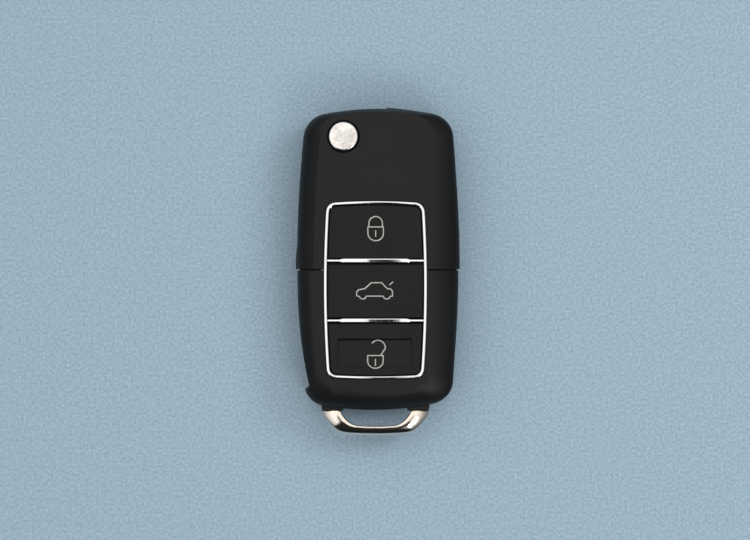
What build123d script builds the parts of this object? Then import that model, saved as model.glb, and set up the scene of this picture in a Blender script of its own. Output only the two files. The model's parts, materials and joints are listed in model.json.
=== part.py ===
"""Flip key fob: a folding key blade and a three-button remote in two moulded halves.

Millimetres. The fob lies on its back. X runs to the right, Y towards the end that holds the
blade's pivot, and Z out of the button face. The joint between the two halves is at Y = 0.
"""
import os
from math import copysign, cos, pi, radians, sin, sqrt

from build123d import *

# Whole fob
thickness = 15.0
head_length = 35.5
remote_length = 30.9
right_width = 18.1
left_width = 17.8
remote_right_inset = 0.3
remote_left_inset = 0.1
parting_height = 7.5
wall = 1.6
seam_gap = 0.3
seam_lip_reach = 1.0
seam_lip_gap = 0.12
seam_lip_inset = 0.7
seam_lip_skin = 3.6
part_gap = 0.1
overrun = 2.0

# Plan outline of the shells: bowed sides, arced ends and rounded corners
head_left_radius = 297.0
head_right_radius = 263.0
remote_side_radius = 217.0
head_end_radius = 63.4
head_end_x = 0.28
remote_end_radius = 65.6
remote_end_x = -1.1
head_corner_radius = 5.7
remote_corner_radius = 5.2

# Front face: the flat face stands in from the outline by these bevels
face_edge_height = 10.8
right_bevel = 6.8
left_bevel = 3.7
head_bevel = 0.85
remote_bevel = 4.3
face_side_radius = 3000.0
face_end_radius = 45.0
face_corner_radius = 3.8

# Back face
back_edge_height = 3.6
back_bevel = 3.2
back_corner_radius = 3.2

# A rounded edge follows part of a quarter ellipse, given by these levels
rounding_angle = 50
level_shares = (0, 0.2, 0.4, 0.6, 0.8, 1)

# Pivot and blade set
pivot_x = -7.5
pivot_setback = 6.3
blade_thickness = 2.9
blade_width = 8.8
blade_end_margin = 5.8
blade_back_offset = 0.1
blade_tip_width = 2.6
blade_tip_taper = 4.0
groove_width = 2.6
groove_depth = 0.8
groove_start = 17.0
groove_end_margin = 5.5
groove_wave = 0.9
groove_shares = (0, 0.6, -0.5, 1, -0.2, 0.7, -1, 0)
tang_length = 6.3
fit_gap = 0.05
hub_thickness = 5.0
hub_disc_radius = 5.6
hub_collar_length = 13.0
hub_collar_margin = 0.6
hub_corner_radius = 4.0
hub_bore_radius = 4.1
barrel_wall = 1.1
barrel_end_gap = 0.2
lug_reach = 0.65
lug_width = 1.6
lug_depth = 2.1
pin_radius = 0.8
pin_setback = 9.8

# Slot that the blade folds into
slot_gap = 0.35
slot_side_gap = 0.4
hub_gap = 0.15
hub_slot_gap = 0.3
slot_end_gap = 0.7
stop_reach = 9.44
stop_rise = 0.25
stop_length = 8.0

# Pivot seats in the covers, release button, spring and hinge cap
barrel_gap = 0.06
roof_thickness = 2.3
button_radius = 3.25
button_proud = 1.0
button_hole_gap = 0.35
button_flange_radius = 4.0
button_flange_thickness = 1.4
button_flange_gap = 0.4
button_stem_radius = 2.3
button_stem_length = 5.2
button_edge = 0.45
button_travel = 1.5
spring_wire = 0.8
spring_radius = 3.4
spring_turns = 3
wire_sides = 5
cap_plug_radius = 2.6
cap_recess = 0.2
cap_flange_thickness = 0.4
cap_spigot_radius = 2.5
cap_spigot_height = 1.4
cap_slot_width = 1.2
cap_slot_length = 3.4
cap_slot_depth = 0.7

# Button panel: it reaches across the joint of the halves into the head
panel_x = -0.5
panel_setback = 20.85
panel_middle_y = -4.5
panel_bottom_y = -23.7
panel_top_half = 10.75
panel_middle_half = 11.35
panel_bottom_half = 10.6
panel_top_bow = 0.45
panel_bottom_bow = 0.35
panel_corner_radius = 2.2
panel_gap = 0.12
tray_floor = 0.9
tray_wall = 1.2
tray_bottom_gap = 0.2
board_thickness = 0.8
board_gap = 0.1
switch_height = 1.0
plunger_proud = 0.45
membrane_gap = 0.05
membrane_thickness = 0.6

# Bezel and key caps
bezel_width = 0.75
bezel_proud = 0.35
bezel_edge = 0.2
rebate_width = 0.35
rebate_height = 0.8
crossbar_ys = (1.83, -11.15)
crossbar_end_width = 0.45
crossbar_width = 0.93
crossbar_left_reach = 8.0
crossbar_right_reach = 7.9
crossbar_taper = 1.4
cap_gap = 0.15
cap_edge = 0.15
thumb_top_y = -15.1
thumb_bottom_y = -21.3
thumb_left_reach = 8.2
thumb_right_reach = 8.0
thumb_top_depth = 0.5
thumb_bottom_depth = 0.15

# Switches and chips on the board
switch_size = 4.2
plunger_width = 1.6
plunger_depth = 0.5
chip_height = 0.9
controller_size = 5.0
controller_x = 5.2
radio_width = 3.0
radio_length = 4.9
radio_x = -6.2
crystal_width = 2.5
crystal_length = 5.0
crystal_x = 6.2

# Coin cell and its contacts
cell_radius = 10.0
cell_thickness = 3.2
cell_cap_radius = 8.9
cell_can_height = 2.7
cell_x = 4.65
cell_y = -14.6
ring_gap = 0.2
ring_wall = 0.9
ring_height = 2.8
ring_opening = 6.0
leaf_thickness = 0.3
leaf_width = 4.0
leaf_pad = 2.0
leaf_root_offset = 6.9
leaf_knee_height = 6.4
leaf_tip_lift = 0.25

# Inner walls of the two halves
slot_wall = 1.0
bay_margin = 0.8
lip_thickness = 0.7
lip_height = 0.7
lip_gap = 0.1
peg_width = 1.6
peg_height = 1.4
remote_peg_setback = 2.5
head_peg_x = -3.0
head_peg_setback = 16.0
remote_floor_y = -25.2
window_right_margin = 1.8
window_end_margin = 1.6
tongue_left_x = -3.0
tongue_right_x = 13.0
tongue_length = 3.25
tongue_low = 1.7
tongue_high = 4.2
tongue_gap = 0.2
pocket_left_x = 3.2
pocket_rise = 2.35
pocket_roof = 1.7
pocket_side = 3.7
pocket_end = 2.0
pocket_corner = 2.0
screw_x = 6.5
screw_setback = 5.65
screw_head_radius = 1.9
screw_head_height = 1.0
screw_shaft_radius = 0.8
screw_recess_radius = 0.9
screw_recess_depth = 0.6
screw_length = 5.6
screw_gap = 0.1
screw_boss_radius = 2.4
chip_place_share = 3 / 7
chip_end_margin = 1.0
chip_edge = 0.6
chip_length = 12.0
chip_width = 6.0
chip_thickness = 3.0
chip_gap = 0.15
chip_rail_height = 1.6
chip_rail_width = 0.8

# Scoop that bares the blade's edge near its tip, and the thumb pad beside the joint
scoop_start_inset = 0.18
scoop_start_y = -4.5
scoop_middle_y = -18.0
scoop_middle_x = -16.5
scoop_end_y = -25.6
scoop_end_x = -15.0
scoop_lip_y = -26.6
scoop_lip_x = -16.3
pad_rise = 0.25
pad_length = 5.0
pad_bow_share = 0.75

# Key-ring loop and the bosses it stands in
loop_x = -0.5
loop_outer_half = 11.7
loop_outer_corner = 1.8
loop_inner_corner = 1.2
loop_inner_half = 7.3
loop_start_y = -32.0
loop_inner_y = -32.0
loop_end_y = -36.65
loop_band = 2.25
loop_thickness = 4.2
loop_edge_share = 0.17
leg_end_y = -27.4
foot_length = 0.9
foot_reach = 0.6
leg_gap = 0.1
boss_root_y = -28.6
boss_end_y = -31.1
leg_step = 0.8
boss_outer_root = 0.35
boss_outer_end = 0.05
boss_inner_root = 0.7
boss_inner_end = 0.2
boss_thickness = 6.0

# Places along the fob
pivot_y = head_length - pivot_setback
panel_top_y = head_length - panel_setback
pocket_low_y = panel_top_y + pocket_rise
screw_y = panel_top_y - screw_setback
chip_y = pocket_low_y + chip_end_margin + chip_length / 2
pocket_right_x = right_width - pocket_side
chip_x = pocket_left_x + (pocket_right_x - pocket_left_x) * chip_place_share
head_peg_y = head_length - head_peg_setback
remote_peg_y = remote_peg_setback - remote_length
blade_tip_y = blade_end_margin - remote_length

# Heights worked out from the stack
blade_low = parting_height - blade_thickness / 2
blade_high = parting_height + blade_thickness / 2
slot_low = blade_low - slot_gap
slot_high = blade_high + slot_gap
hub_low = parting_height - hub_thickness / 2
hub_high = parting_height + hub_thickness / 2
hub_slot_low = hub_low - hub_slot_gap
hub_slot_high = hub_high + hub_slot_gap
roof_height = thickness - roof_thickness
barrel_radius = hub_bore_radius + barrel_wall
seat_radius = barrel_radius + barrel_gap
cap_flange_low = wall + cap_recess + part_gap
cap_flange_high = cap_flange_low + cap_flange_thickness
barrel_low = cap_flange_high + part_gap
barrel_high = roof_height - barrel_end_gap
button_flange_high = roof_height - button_flange_gap
button_flange_low = button_flange_high - button_flange_thickness
web_high = slot_high - tray_bottom_gap
tray_high = slot_high + tray_floor
board_high = tray_high + board_thickness
switch_high = board_high + switch_height
plunger_high = switch_high + plunger_proud
membrane_low = plunger_high + membrane_gap
membrane_high = membrane_low + membrane_thickness
bezel_high = thickness + bezel_proud
cell_low = wall + part_gap
cell_high = cell_low + cell_thickness
leg_low = parting_height - loop_thickness / 2
leg_high = parting_height + loop_thickness / 2

# Places worked out from the blade
blade_right = pivot_x + blade_back_offset
blade_left = blade_right - blade_width
blade_middle = (blade_left + blade_right) / 2
hub_left = blade_left - hub_collar_margin
hub_right = blade_right + hub_collar_margin
hub_end_y = pivot_y - hub_collar_length
slot_right = blade_right + slot_side_gap
slot_end_y = blade_tip_y - slot_end_gap
stop_x = pivot_x + stop_reach
key_ys = (
    (panel_top_y + crossbar_ys[0]) / 2,
    (crossbar_ys[0] + crossbar_ys[1]) / 2,
    (crossbar_ys[1] + panel_bottom_y) / 2,
)
key_names = ("lock", "boot", "unlock")

remote_left = left_width - remote_left_inset
remote_right = right_width - remote_right_inset

head_outline = (
    left_width, right_width, head_length, head_end_x,
    head_left_radius, head_right_radius, head_end_radius, head_corner_radius,
)
head_face_outline = (
    left_width - left_bevel, right_width - right_bevel, head_length - head_bevel, head_end_x,
    head_left_radius, face_side_radius, face_end_radius, face_corner_radius,
)
head_back_outline = (
    left_width - back_bevel, right_width - back_bevel, head_length - back_bevel, head_end_x,
    head_left_radius, head_right_radius, head_end_radius, back_corner_radius,
)
remote_outline = (
    remote_left, remote_right, -remote_length, remote_end_x,
    remote_side_radius, remote_side_radius, remote_end_radius, remote_corner_radius,
)
remote_face_outline = (
    remote_left - left_bevel, remote_right - right_bevel, remote_bevel - remote_length,
    remote_end_x, remote_side_radius, face_side_radius, face_end_radius, face_corner_radius,
)
remote_back_outline = (
    remote_left - back_bevel, remote_right - back_bevel, back_bevel - remote_length,
    remote_end_x, remote_side_radius, remote_side_radius, remote_end_radius, back_corner_radius,
)


def corner_points(side_centre, side_radius, end_centre, end_radius, corner, outward):
    """Ends and middle of a corner arc that touches a side arc and an end arc from inside."""
    span = end_centre - side_centre
    to_side = side_radius - corner
    to_end = end_radius - corner
    along = (to_side**2 - to_end**2 + span.length**2) / (2 * span.length)
    across = sqrt(to_side**2 - along**2)
    direction = span.normalized()
    normal = Vector(-direction.Y, direction.X)
    foot = side_centre + direction * along
    centre = max((foot + normal * across, foot - normal * across), key=outward.dot)
    on_side = side_centre + (centre - side_centre).normalized() * side_radius
    on_end = end_centre + (centre - end_centre).normalized() * end_radius
    middle = centre + ((on_side - centre) + (on_end - centre)).normalized() * corner
    return on_side, middle, on_end


def arc_middle(centre, start, end, radius):
    """Point halfway along the shorter arc from start to end round a centre."""
    return centre + ((start - centre) + (end - centre)).normalized() * radius


def half_outline(
    height, left, right, reach, end_x, left_radius, right_radius, end_radius, corner
):
    """Plan outline of one half of the fob, run past the joint so that it can be cut there."""
    toward = copysign(1, reach)
    end_centre = Vector(end_x, reach - toward * end_radius)
    right_centre = Vector(right - right_radius, 0)
    left_centre = Vector(left_radius - left, 0)
    root_y = -toward * overrun
    right_root = Vector(right_centre.X + sqrt(right_radius**2 - root_y**2), root_y)
    left_root = Vector(left_centre.X - sqrt(left_radius**2 - root_y**2), root_y)
    right_side, right_corner, right_end = corner_points(
        right_centre, right_radius, end_centre, end_radius, corner, Vector(1, toward)
    )
    left_side, left_corner, left_end = corner_points(
        left_centre, left_radius, end_centre, end_radius, corner, Vector(-1, toward)
    )
    with BuildSketch(Plane.XY.offset(height)) as outline:
        with BuildLine():
            right_mid = arc_middle(right_centre, right_root, right_side, right_radius)
            ThreePointArc(right_root, right_mid, right_side)
            ThreePointArc(right_side, right_corner, right_end)
            ThreePointArc(right_end, Vector(end_x, reach), left_end)
            ThreePointArc(left_end, left_corner, left_side)
            left_mid = arc_middle(left_centre, left_side, left_root, left_radius)
            ThreePointArc(left_side, left_mid, left_root)
            Line(left_root, right_root)
        make_face()
    return outline.sketch


def shrunk(outline, margin):
    """Figures of an outline drawn in by a margin at its sides and its end."""
    left, right, reach, *middle, corner = outline
    reach -= copysign(margin, reach)
    return left - margin, right - margin, reach, *middle, corner - margin


def rounded_levels(outer, inner, edge_height, face_height):
    """Outlines up a rounded edge, from the full outline to the flat face."""
    full_angle = radians(rounding_angle)
    levels = []
    for share in level_shares:
        angle = full_angle * share
        run_share = (1 - cos(angle)) / (1 - cos(full_angle))
        rise_share = sin(angle) / sin(full_angle)
        blend = [start + (end - start) * run_share for start, end in zip(outer, inner)]
        height = edge_height + (face_height - edge_height) * rise_share
        levels.append(half_outline(height, *blend))
    return levels


def add_front_shell(outer, face):
    """Upper moulding of a half, from the parting plane to the flat face."""
    extrude(half_outline(parting_height, *outer), amount=face_edge_height - parting_height)
    loft(rounded_levels(outer, face, face_edge_height, thickness), ruled=True)


def add_back_shell(outer, face):
    """Lower moulding of a half, from the back face to the parting plane."""
    loft(rounded_levels(outer, face, back_edge_height, 0), ruled=True)
    extrude(half_outline(back_edge_height, *outer), amount=parting_height - back_edge_height)


def trim_at_joint(toward):
    """Cuts a half off square, half a joint gap from the middle plane."""
    joint = Plane.XZ.offset(-toward * seam_gap / 2)
    split(bisect_by=joint, keep=Keep.BOTTOM if toward > 0 else Keep.TOP)


def post(x, y, radius, low, high, mode=Mode.ADD):
    """Upright cylinder between two heights."""
    with Locations((x, y, low)):
        Cylinder(radius, high - low, align=(Align.CENTER, Align.CENTER, Align.MIN), mode=mode)


def block(x_range, y_range, z_range, mode=Mode.ADD):
    """Square block between two corners."""
    lows, highs = zip(x_range, y_range, z_range)
    sizes = [high - low for low, high in zip(lows, highs)]
    with Locations(lows):
        Box(*sizes, align=(Align.MIN, Align.MIN, Align.MIN), mode=mode)


def plate(points, low, high, mode=Mode.ADD):
    """Flat piece with a straight-sided plan outline, between two heights."""
    with BuildSketch(Plane.XY.offset(low)) as plan:
        with BuildLine():
            Polyline(*points, close=True)
        make_face()
    extrude(plan.sketch, amount=high - low, mode=mode)


def panel_face(height, grow=0, y_range=None):
    """Button panel's outline, grown or shrunk all round, or only its stretch between two Y."""
    top = panel_top_y + grow
    bottom = panel_bottom_y - grow
    corners = [
        (panel_x + panel_top_half + grow, top),
        (panel_x - panel_top_half - grow, top),
        (panel_x - panel_bottom_half - grow, bottom),
        (panel_x + panel_bottom_half + grow, bottom),
    ]
    with BuildSketch(Plane.XY.offset(height)) as face:
        with BuildLine():
            ThreePointArc(corners[0], (panel_x, top + panel_top_bow), corners[1])
            left_bulge = (panel_x - panel_middle_half - grow, panel_middle_y)
            ThreePointArc(corners[1], left_bulge, corners[2])
            ThreePointArc(corners[2], (panel_x, bottom - panel_bottom_bow), corners[3])
            right_bulge = (panel_x + panel_middle_half + grow, panel_middle_y)
            ThreePointArc(corners[3], right_bulge, corners[0])
        make_face()
        fillet(face.vertices(), panel_corner_radius + grow)
        if y_range:
            low_y, high_y = y_range
            with Locations((panel_x, (low_y + high_y) / 2)):
                Rectangle(3 * panel_middle_half, high_y - low_y, mode=Mode.INTERSECT)
    return face.sketch


def raise_panel(low, high, grow=0, y_range=None, mode=Mode.ADD):
    """Panel-shaped block between two heights."""
    extrude(panel_face(low, grow, y_range), amount=high - low, mode=mode)


def cut_head_slot():
    """Blade slot, hub bore and barrel seats in either head cover."""
    outside_x = -left_width - overrun
    block((outside_x, slot_right), (-overrun, hub_end_y), (slot_low, slot_high), Mode.SUBTRACT)
    edge_x = hub_right + hub_gap
    low_y = hub_end_y - slot_side_gap
    high_y = head_length + overrun
    swept = [
        (outside_x, low_y), (edge_x, low_y), (edge_x, pivot_y), (stop_x, pivot_y),
        (stop_x, high_y), (outside_x, high_y),
    ]
    plate(swept, hub_slot_low, hub_slot_high, Mode.SUBTRACT)
    bore = hub_disc_radius + hub_gap
    post(pivot_x, pivot_y, bore, hub_slot_low, hub_slot_high, Mode.SUBTRACT)
    post(pivot_x, pivot_y, seat_radius, cap_flange_low, roof_height, Mode.SUBTRACT)


def add_stop(low, high):
    """Low swelling on the end wall, where the open blade's hub comes to rest."""
    with BuildSketch(Plane.XY.offset(low)) as swelling:
        with BuildLine():
            root_y = head_length - wall
            end_x = stop_x + stop_length
            middle_x = (stop_x + end_x) / 2
            tip_y, middle_y, end_y = (
                head_length + rise - (x - head_end_x)**2 / (2 * head_end_radius)
                for x, rise in ((stop_x, stop_rise), (middle_x, stop_rise / 2), (end_x, 0))
            )
            Line((stop_x, root_y), (stop_x, tip_y))
            ThreePointArc((stop_x, tip_y), (middle_x, middle_y), (end_x, end_y))
            Line((end_x, end_y), (end_x, root_y - wall))
            Line((end_x, root_y - wall), (stop_x, root_y))
        make_face()
    extrude(swelling.sketch, amount=high - low)


def add_thumb_pad(low, high):
    """Raised pad on the left side, gripped to pull the halves apart."""
    root_x = -left_width + wall
    with BuildSketch(Plane.XY.offset(low)) as pad:
        with BuildLine():
            bow = (-left_width - pad_rise * pad_bow_share, pad_length / 2)
            foot_low = (-left_width - pad_rise, seam_gap / 2)
            foot_high = (-left_width, pad_length)
            ThreePointArc(foot_low, bow, foot_high)
            Polyline(foot_high, (root_x, pad_length), (root_x, seam_gap / 2), foot_low)
        make_face()
    extrude(pad.sketch, amount=high - low)


def add_peg(x, y):
    """Locating peg that stands up out of a back cover."""
    half = peg_width / 2
    block(
        (x - half, x + half), (y - half, y + half),
        (parting_height - peg_height, parting_height + peg_height),
    )


def cut_peg_hole(x, y):
    """Hole in a front cover for the back cover's locating peg."""
    half = peg_width / 2 + fit_gap
    block(
        (x - half, x + half), (y - half, y + half),
        (parting_height - overrun, parting_height + peg_height + part_gap), Mode.SUBTRACT,
    )


def head_front_cover():
    with BuildPart() as cover:
        add_front_shell(head_outline, head_face_outline)
        trim_at_joint(1)
        add_stop(parting_height, hub_slot_high)
        add_thumb_pad(slot_high, face_edge_height)
        cut_head_slot()
        hole = button_radius + button_hole_gap
        post(pivot_x, pivot_y, hole, roof_height, thickness + overrun, Mode.SUBTRACT)
        raise_panel(web_high, thickness + overrun, panel_gap, mode=Mode.SUBTRACT)
        with BuildSketch(Plane.XY.offset(parting_height)) as pocket:
            top_y = head_length - pocket_end - wall
            middle = ((pocket_left_x + pocket_right_x) / 2, (pocket_low_y + top_y) / 2)
            with Locations(middle):
                width = pocket_right_x - pocket_left_x
                RectangleRounded(width, top_y - pocket_low_y, pocket_corner)
        extrude(pocket.sketch, amount=thickness - pocket_roof - parting_height, mode=Mode.SUBTRACT)
        screw_seat = web_high - screw_head_height
        post(screw_x, screw_y, screw_head_radius + screw_gap, screw_seat, web_high, Mode.SUBTRACT)
        post(screw_x, screw_y, screw_shaft_radius + screw_gap, 0, screw_seat, Mode.SUBTRACT)
        cut_peg_hole(head_peg_x, head_peg_y)
        cut_seam_recesses(True)
    return cover.part


def head_back_cover():
    with BuildPart() as cover:
        add_back_shell(head_outline, head_back_outline)
        trim_at_joint(1)
        add_stop(hub_slot_low, parting_height)
        add_thumb_pad(back_edge_height, slot_low)
        cut_head_slot()
        post(pivot_x, pivot_y, cap_plug_radius + part_gap, -overrun, cap_flange_low, Mode.SUBTRACT)
        # Bay under the panel and beside the blade's hub, with the screw boss left standing
        bay_outline = half_outline(wall, *shrunk(head_outline, wall + bay_margin))
        with BuildSketch(Plane.XY.offset(wall)) as bay:
            add(bay_outline)
            bay_left = slot_right + slot_wall
            with Locations((bay_left, wall)):
                corner = (Align.MIN, Align.MIN)
                Rectangle(right_width - bay_left, head_length, align=corner, mode=Mode.INTERSECT)
            with Locations((pocket_left_x - overrun, pocket_low_y)):
                corner = (Align.MAX, Align.MIN)
                Rectangle(right_width, head_length, align=corner, mode=Mode.SUBTRACT)
        extrude(bay.sketch, amount=parting_height - wall, mode=Mode.SUBTRACT)
        cut_seam_recesses(False)
        block(
            (tongue_left_x, tongue_right_x), (-tongue_length, wall), (tongue_low, tongue_high)
        )
        post(screw_x, screw_y, screw_boss_radius, wall, parting_height)
        hole_low = web_high - screw_head_height - screw_length - screw_gap
        post(screw_x, screw_y, screw_shaft_radius, hole_low, parting_height, Mode.SUBTRACT)
        add_peg(head_peg_x, head_peg_y)
        for side in (-1, 1):
            rail_x = chip_x + side * (chip_width / 2 + chip_gap + chip_rail_width / 2)
            with Locations((rail_x, chip_y, wall)):
                Box(
                    chip_rail_width, chip_length, chip_rail_height,
                    align=(Align.CENTER, Align.CENTER, Align.MIN),
                )
    return cover.part


def hinge_cap():
    with BuildPart() as cap:
        post(pivot_x, pivot_y, cap_plug_radius, cap_recess, cap_flange_low)
        post(pivot_x, pivot_y, barrel_radius, cap_flange_low, cap_flange_high)
        spigot_high = cap_flange_high + cap_spigot_height
        post(pivot_x, pivot_y, cap_spigot_radius, cap_flange_high, spigot_high)
        with BuildSketch(Plane.XY.offset(cap_recess)) as slot:
            with Locations((pivot_x, pivot_y)):
                Rectangle(cap_slot_length, cap_slot_width)
        extrude(slot.sketch, amount=cap_slot_depth, mode=Mode.SUBTRACT)
    return cap.part


def head_screw():
    with BuildPart() as screw:
        head_low = web_high - screw_head_height
        post(screw_x, screw_y, screw_head_radius, head_low, web_high - fit_gap)
        post(screw_x, screw_y, screw_shaft_radius, head_low - screw_length, head_low)
        with BuildSketch(Plane.XY.offset(web_high - fit_gap)) as recess:
            with Locations((screw_x, screw_y)):
                for angle in (0, 90):
                    width = 2 * screw_recess_radius
                    Rectangle(width, screw_recess_radius / 2, rotation=angle)
        extrude(recess.sketch, amount=-screw_recess_depth, mode=Mode.SUBTRACT)
    return screw.part


def transponder_chip():
    with BuildPart() as chip:
        with Locations((chip_x, chip_y, wall)):
            Box(
                chip_width, chip_length, chip_thickness,
                align=(Align.CENTER, Align.CENTER, Align.MIN),
            )
        chamfer(chip.edges().filter_by(Axis.Z), chip_edge)
    return chip.part


def blade_hub():
    with BuildPart() as hub:
        block((hub_left, hub_right), (hub_end_y, pivot_y), (hub_low, hub_high))
        outer_corner = hub.edges().filter_by(Axis.Z).group_by(Axis.Y)[-1].sort_by(Axis.X)[0]
        fillet(outer_corner, hub_corner_radius)
        post(pivot_x, pivot_y, hub_disc_radius, hub_low, hub_high)
        post(pivot_x, pivot_y, barrel_radius, barrel_low, barrel_high)
        post(pivot_x, pivot_y, hub_bore_radius, barrel_low, barrel_high, Mode.SUBTRACT)
        lug = hub_bore_radius + lug_reach + fit_gap
        with Locations((pivot_x, pivot_y, barrel_high)):
            for angle in (0, 90):
                Box(
                    2 * lug, lug_width + 2 * fit_gap, lug_depth + button_travel,
                    rotation=(0, 0, angle), mode=Mode.SUBTRACT,
                    align=(Align.CENTER, Align.CENTER, Align.MAX),
                )
        tang_y = hub_end_y + tang_length + fit_gap
        block(
            (blade_left - fit_gap, blade_right + fit_gap), (hub_end_y - overrun, tang_y),
            (blade_low - fit_gap, blade_high + fit_gap), Mode.SUBTRACT,
        )
        pin_hole = pin_radius + fit_gap
        post(blade_middle, pivot_y - pin_setback, pin_hole, hub_low, hub_high, Mode.SUBTRACT)
    return hub.part


def blade_outline():
    """Plan outline of the flat blade, its tip narrowed from both edges."""
    tip_middle = blade_middle
    with BuildSketch(Plane.XY.offset(blade_low)) as outline:
        with BuildLine():
            tang_y = hub_end_y + tang_length
            Polyline(
                (blade_left, tang_y), (blade_left, blade_tip_y + blade_tip_taper),
                (tip_middle - blade_tip_width / 2, blade_tip_y),
                (tip_middle + blade_tip_width / 2, blade_tip_y),
                (blade_right, blade_tip_y + blade_tip_taper), (blade_right, tang_y),
                close=True,
            )
        make_face()
    return outline.sketch


def key_blade():
    with BuildPart() as blade:
        extrude(blade_outline(), amount=blade_thickness)
        first_y = pivot_y - groove_start
        last_y = blade_tip_y + groove_end_margin
        steps = len(groove_shares) - 1
        points = [
            (blade_middle + groove_wave * share, first_y + (last_y - first_y) * index / steps)
            for index, share in enumerate(groove_shares)
        ]
        for low in (blade_low, blade_high - groove_depth):
            with BuildSketch(Plane.XY.offset(low)) as groove:
                with BuildLine():
                    Polyline(*points)
                trace(line_width=groove_width)
            extrude(groove.sketch, amount=groove_depth, mode=Mode.SUBTRACT)
        pin_y = pivot_y - pin_setback
        post(blade_middle, pin_y, pin_radius + fit_gap, blade_low, blade_high, Mode.SUBTRACT)
    return blade.part


def blade_roll_pin():
    with BuildPart() as pin:
        post(blade_middle, pivot_y - pin_setback, pin_radius, hub_low, hub_high)
    return pin.part


def release_button():
    with BuildPart() as button:
        top = thickness + button_proud
        post(pivot_x, pivot_y, button_radius, button_flange_high, top)
        chamfer(button.faces().sort_by(Axis.Z)[-1].edges(), button_edge)
        post(pivot_x, pivot_y, button_flange_radius, button_flange_low, button_flange_high)
        stem_low = button_flange_low - button_stem_length
        post(pivot_x, pivot_y, button_stem_radius, stem_low, button_flange_low)
        lug = hub_bore_radius + lug_reach
        with Locations((pivot_x, pivot_y, button_flange_low)):
            for angle in (0, 90):
                Box(
                    2 * lug, lug_width, button_flange_thickness, rotation=(0, 0, angle),
                    align=(Align.CENTER, Align.CENTER, Align.MIN),
                )
    return button.part


def helix_point(angle, low):
    """Place and direction on the spring's helix at an angle from its start."""
    pitch = (button_flange_low - cap_flange_high - spring_wire - part_gap) / spring_turns
    turn = 2 * pi
    place = Vector(
        pivot_x + spring_radius * cos(angle),
        pivot_y + spring_radius * sin(angle),
        low + pitch * angle / turn,
    )
    slope = pitch / (turn * spring_radius)
    return place, Vector(-sin(angle), cos(angle), slope).normalized()


def biarc_middle(start, start_way, end, end_way):
    """Where two arcs meet smoothly between two points with given directions, and the way there."""
    chord = end - start
    ways = start_way + end_way
    square = 2 * (1 - start_way.dot(end_way))
    lean = chord.dot(ways)
    reach = (-lean + sqrt(lean**2 + square * chord.dot(chord))) / square
    near = start + start_way * reach
    far = end - end_way * reach
    return (near + far) / 2, (far - near).normalized()


def flip_spring():
    low = cap_flange_high + (spring_wire + part_gap) / 2
    quarters = 4 * spring_turns
    with BuildPart() as spring:
        with BuildLine() as path:
            for index in range(quarters):
                start, start_way = helix_point(index * pi / 2, low)
                end, end_way = helix_point((index + 1) * pi / 2, low)
                middle, middle_way = biarc_middle(start, start_way, end, end_way)
                TangentArc(start, middle, tangent=start_way)
                TangentArc(middle, end, tangent=middle_way)
        start, start_way = helix_point(0, low)
        with BuildSketch(Plane(origin=start, z_dir=start_way)) as section:
            RegularPolygon(spring_wire / 2, wire_sides)
        sweep(section.sketch, path=path.wire())
    steps = 36
    count = steps * spring_turns
    places = [helix_point(2 * pi * index / steps, low)[0] for index in range(count + 1)]
    gaps = [
        (places[index + lag] - places[index]).length - spring_wire
        for index in range(count + 1)
        for lag in range(steps // 2, steps + steps // 2)
        if index + lag <= count
    ]
    print(f"flip_spring: least gap between turns {min(gaps):.2f} mm")
    return spring.part


def cavity_face(height, grow=0):
    """Plan of the space inside the remote, between the slot's wall, the joint and the end."""
    with BuildSketch(Plane.XY.offset(height)) as cavity:
        add(half_outline(height, *shrunk(remote_outline, wall + bay_margin - grow)))
        left_x = slot_right + slot_wall
        low_y = remote_floor_y - grow
        high_y = grow - wall
        with Locations((left_x, low_y)):
            corner = (Align.MIN, Align.MIN)
            Rectangle(right_width - left_x, high_y - low_y, align=corner, mode=Mode.INTERSECT)
    return cavity.sketch


def cut_remote_slot():
    """Blade slot along the left side, and the scoop that bares the blade's edge."""
    outside_x = -left_width - overrun
    block(
        (outside_x, slot_right), (slot_end_y, overrun), (slot_low, slot_high), Mode.SUBTRACT
    )
    with BuildSketch(Plane.XY) as scoop:
        with BuildLine():
            start = (scoop_start_inset - left_width, scoop_start_y)
            end = (scoop_end_x, scoop_end_y)
            lip = (scoop_lip_x, scoop_lip_y)
            ThreePointArc(start, (scoop_middle_x, scoop_middle_y), end)
            Polyline(end, lip, (outside_x, scoop_lip_y), (outside_x, scoop_start_y), start)
        make_face()
    extrude(scoop.sketch, amount=thickness, mode=Mode.SUBTRACT)


def leg_sides():
    """For the left and right leg: the way outwards, and its inner and outer edge."""
    return [
        (side, loop_x + side * loop_inner_half, loop_x + side * loop_outer_half)
        for side in (-1, 1)
    ]


def tenon_span(side, inner, outer, reach):
    """Left and right edge of a leg's tenon, stepped in from the leg and grown by a reach."""
    step = leg_step - reach
    return sorted((inner + side * step, outer - side * step))


def add_loop_bosses(low, high):
    """Tapered bosses that stand out of the end round the loop's legs."""
    for side, inner, outer in leg_sides():
        points = [
            (outer + side * boss_outer_root, boss_root_y),
            (inner - side * boss_inner_root, boss_root_y),
            (inner - side * boss_inner_end, boss_end_y),
            (outer + side * boss_outer_end, boss_end_y),
        ]
        plate(points, low, high)


def cut_loop_pockets():
    """Sockets for the legs' tenons and their feet."""
    heights = (leg_low - leg_gap, leg_high + leg_gap)
    foot_low_y = leg_end_y - leg_gap
    foot_high_y = leg_end_y + foot_length + leg_gap
    for leg in leg_sides():
        shaft = tenon_span(*leg, leg_gap)
        foot = tenon_span(*leg, foot_reach + leg_gap)
        block(shaft, (boss_end_y - overrun, foot_low_y), heights, Mode.SUBTRACT)
        block(foot, (foot_low_y, foot_high_y), heights, Mode.SUBTRACT)


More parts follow.
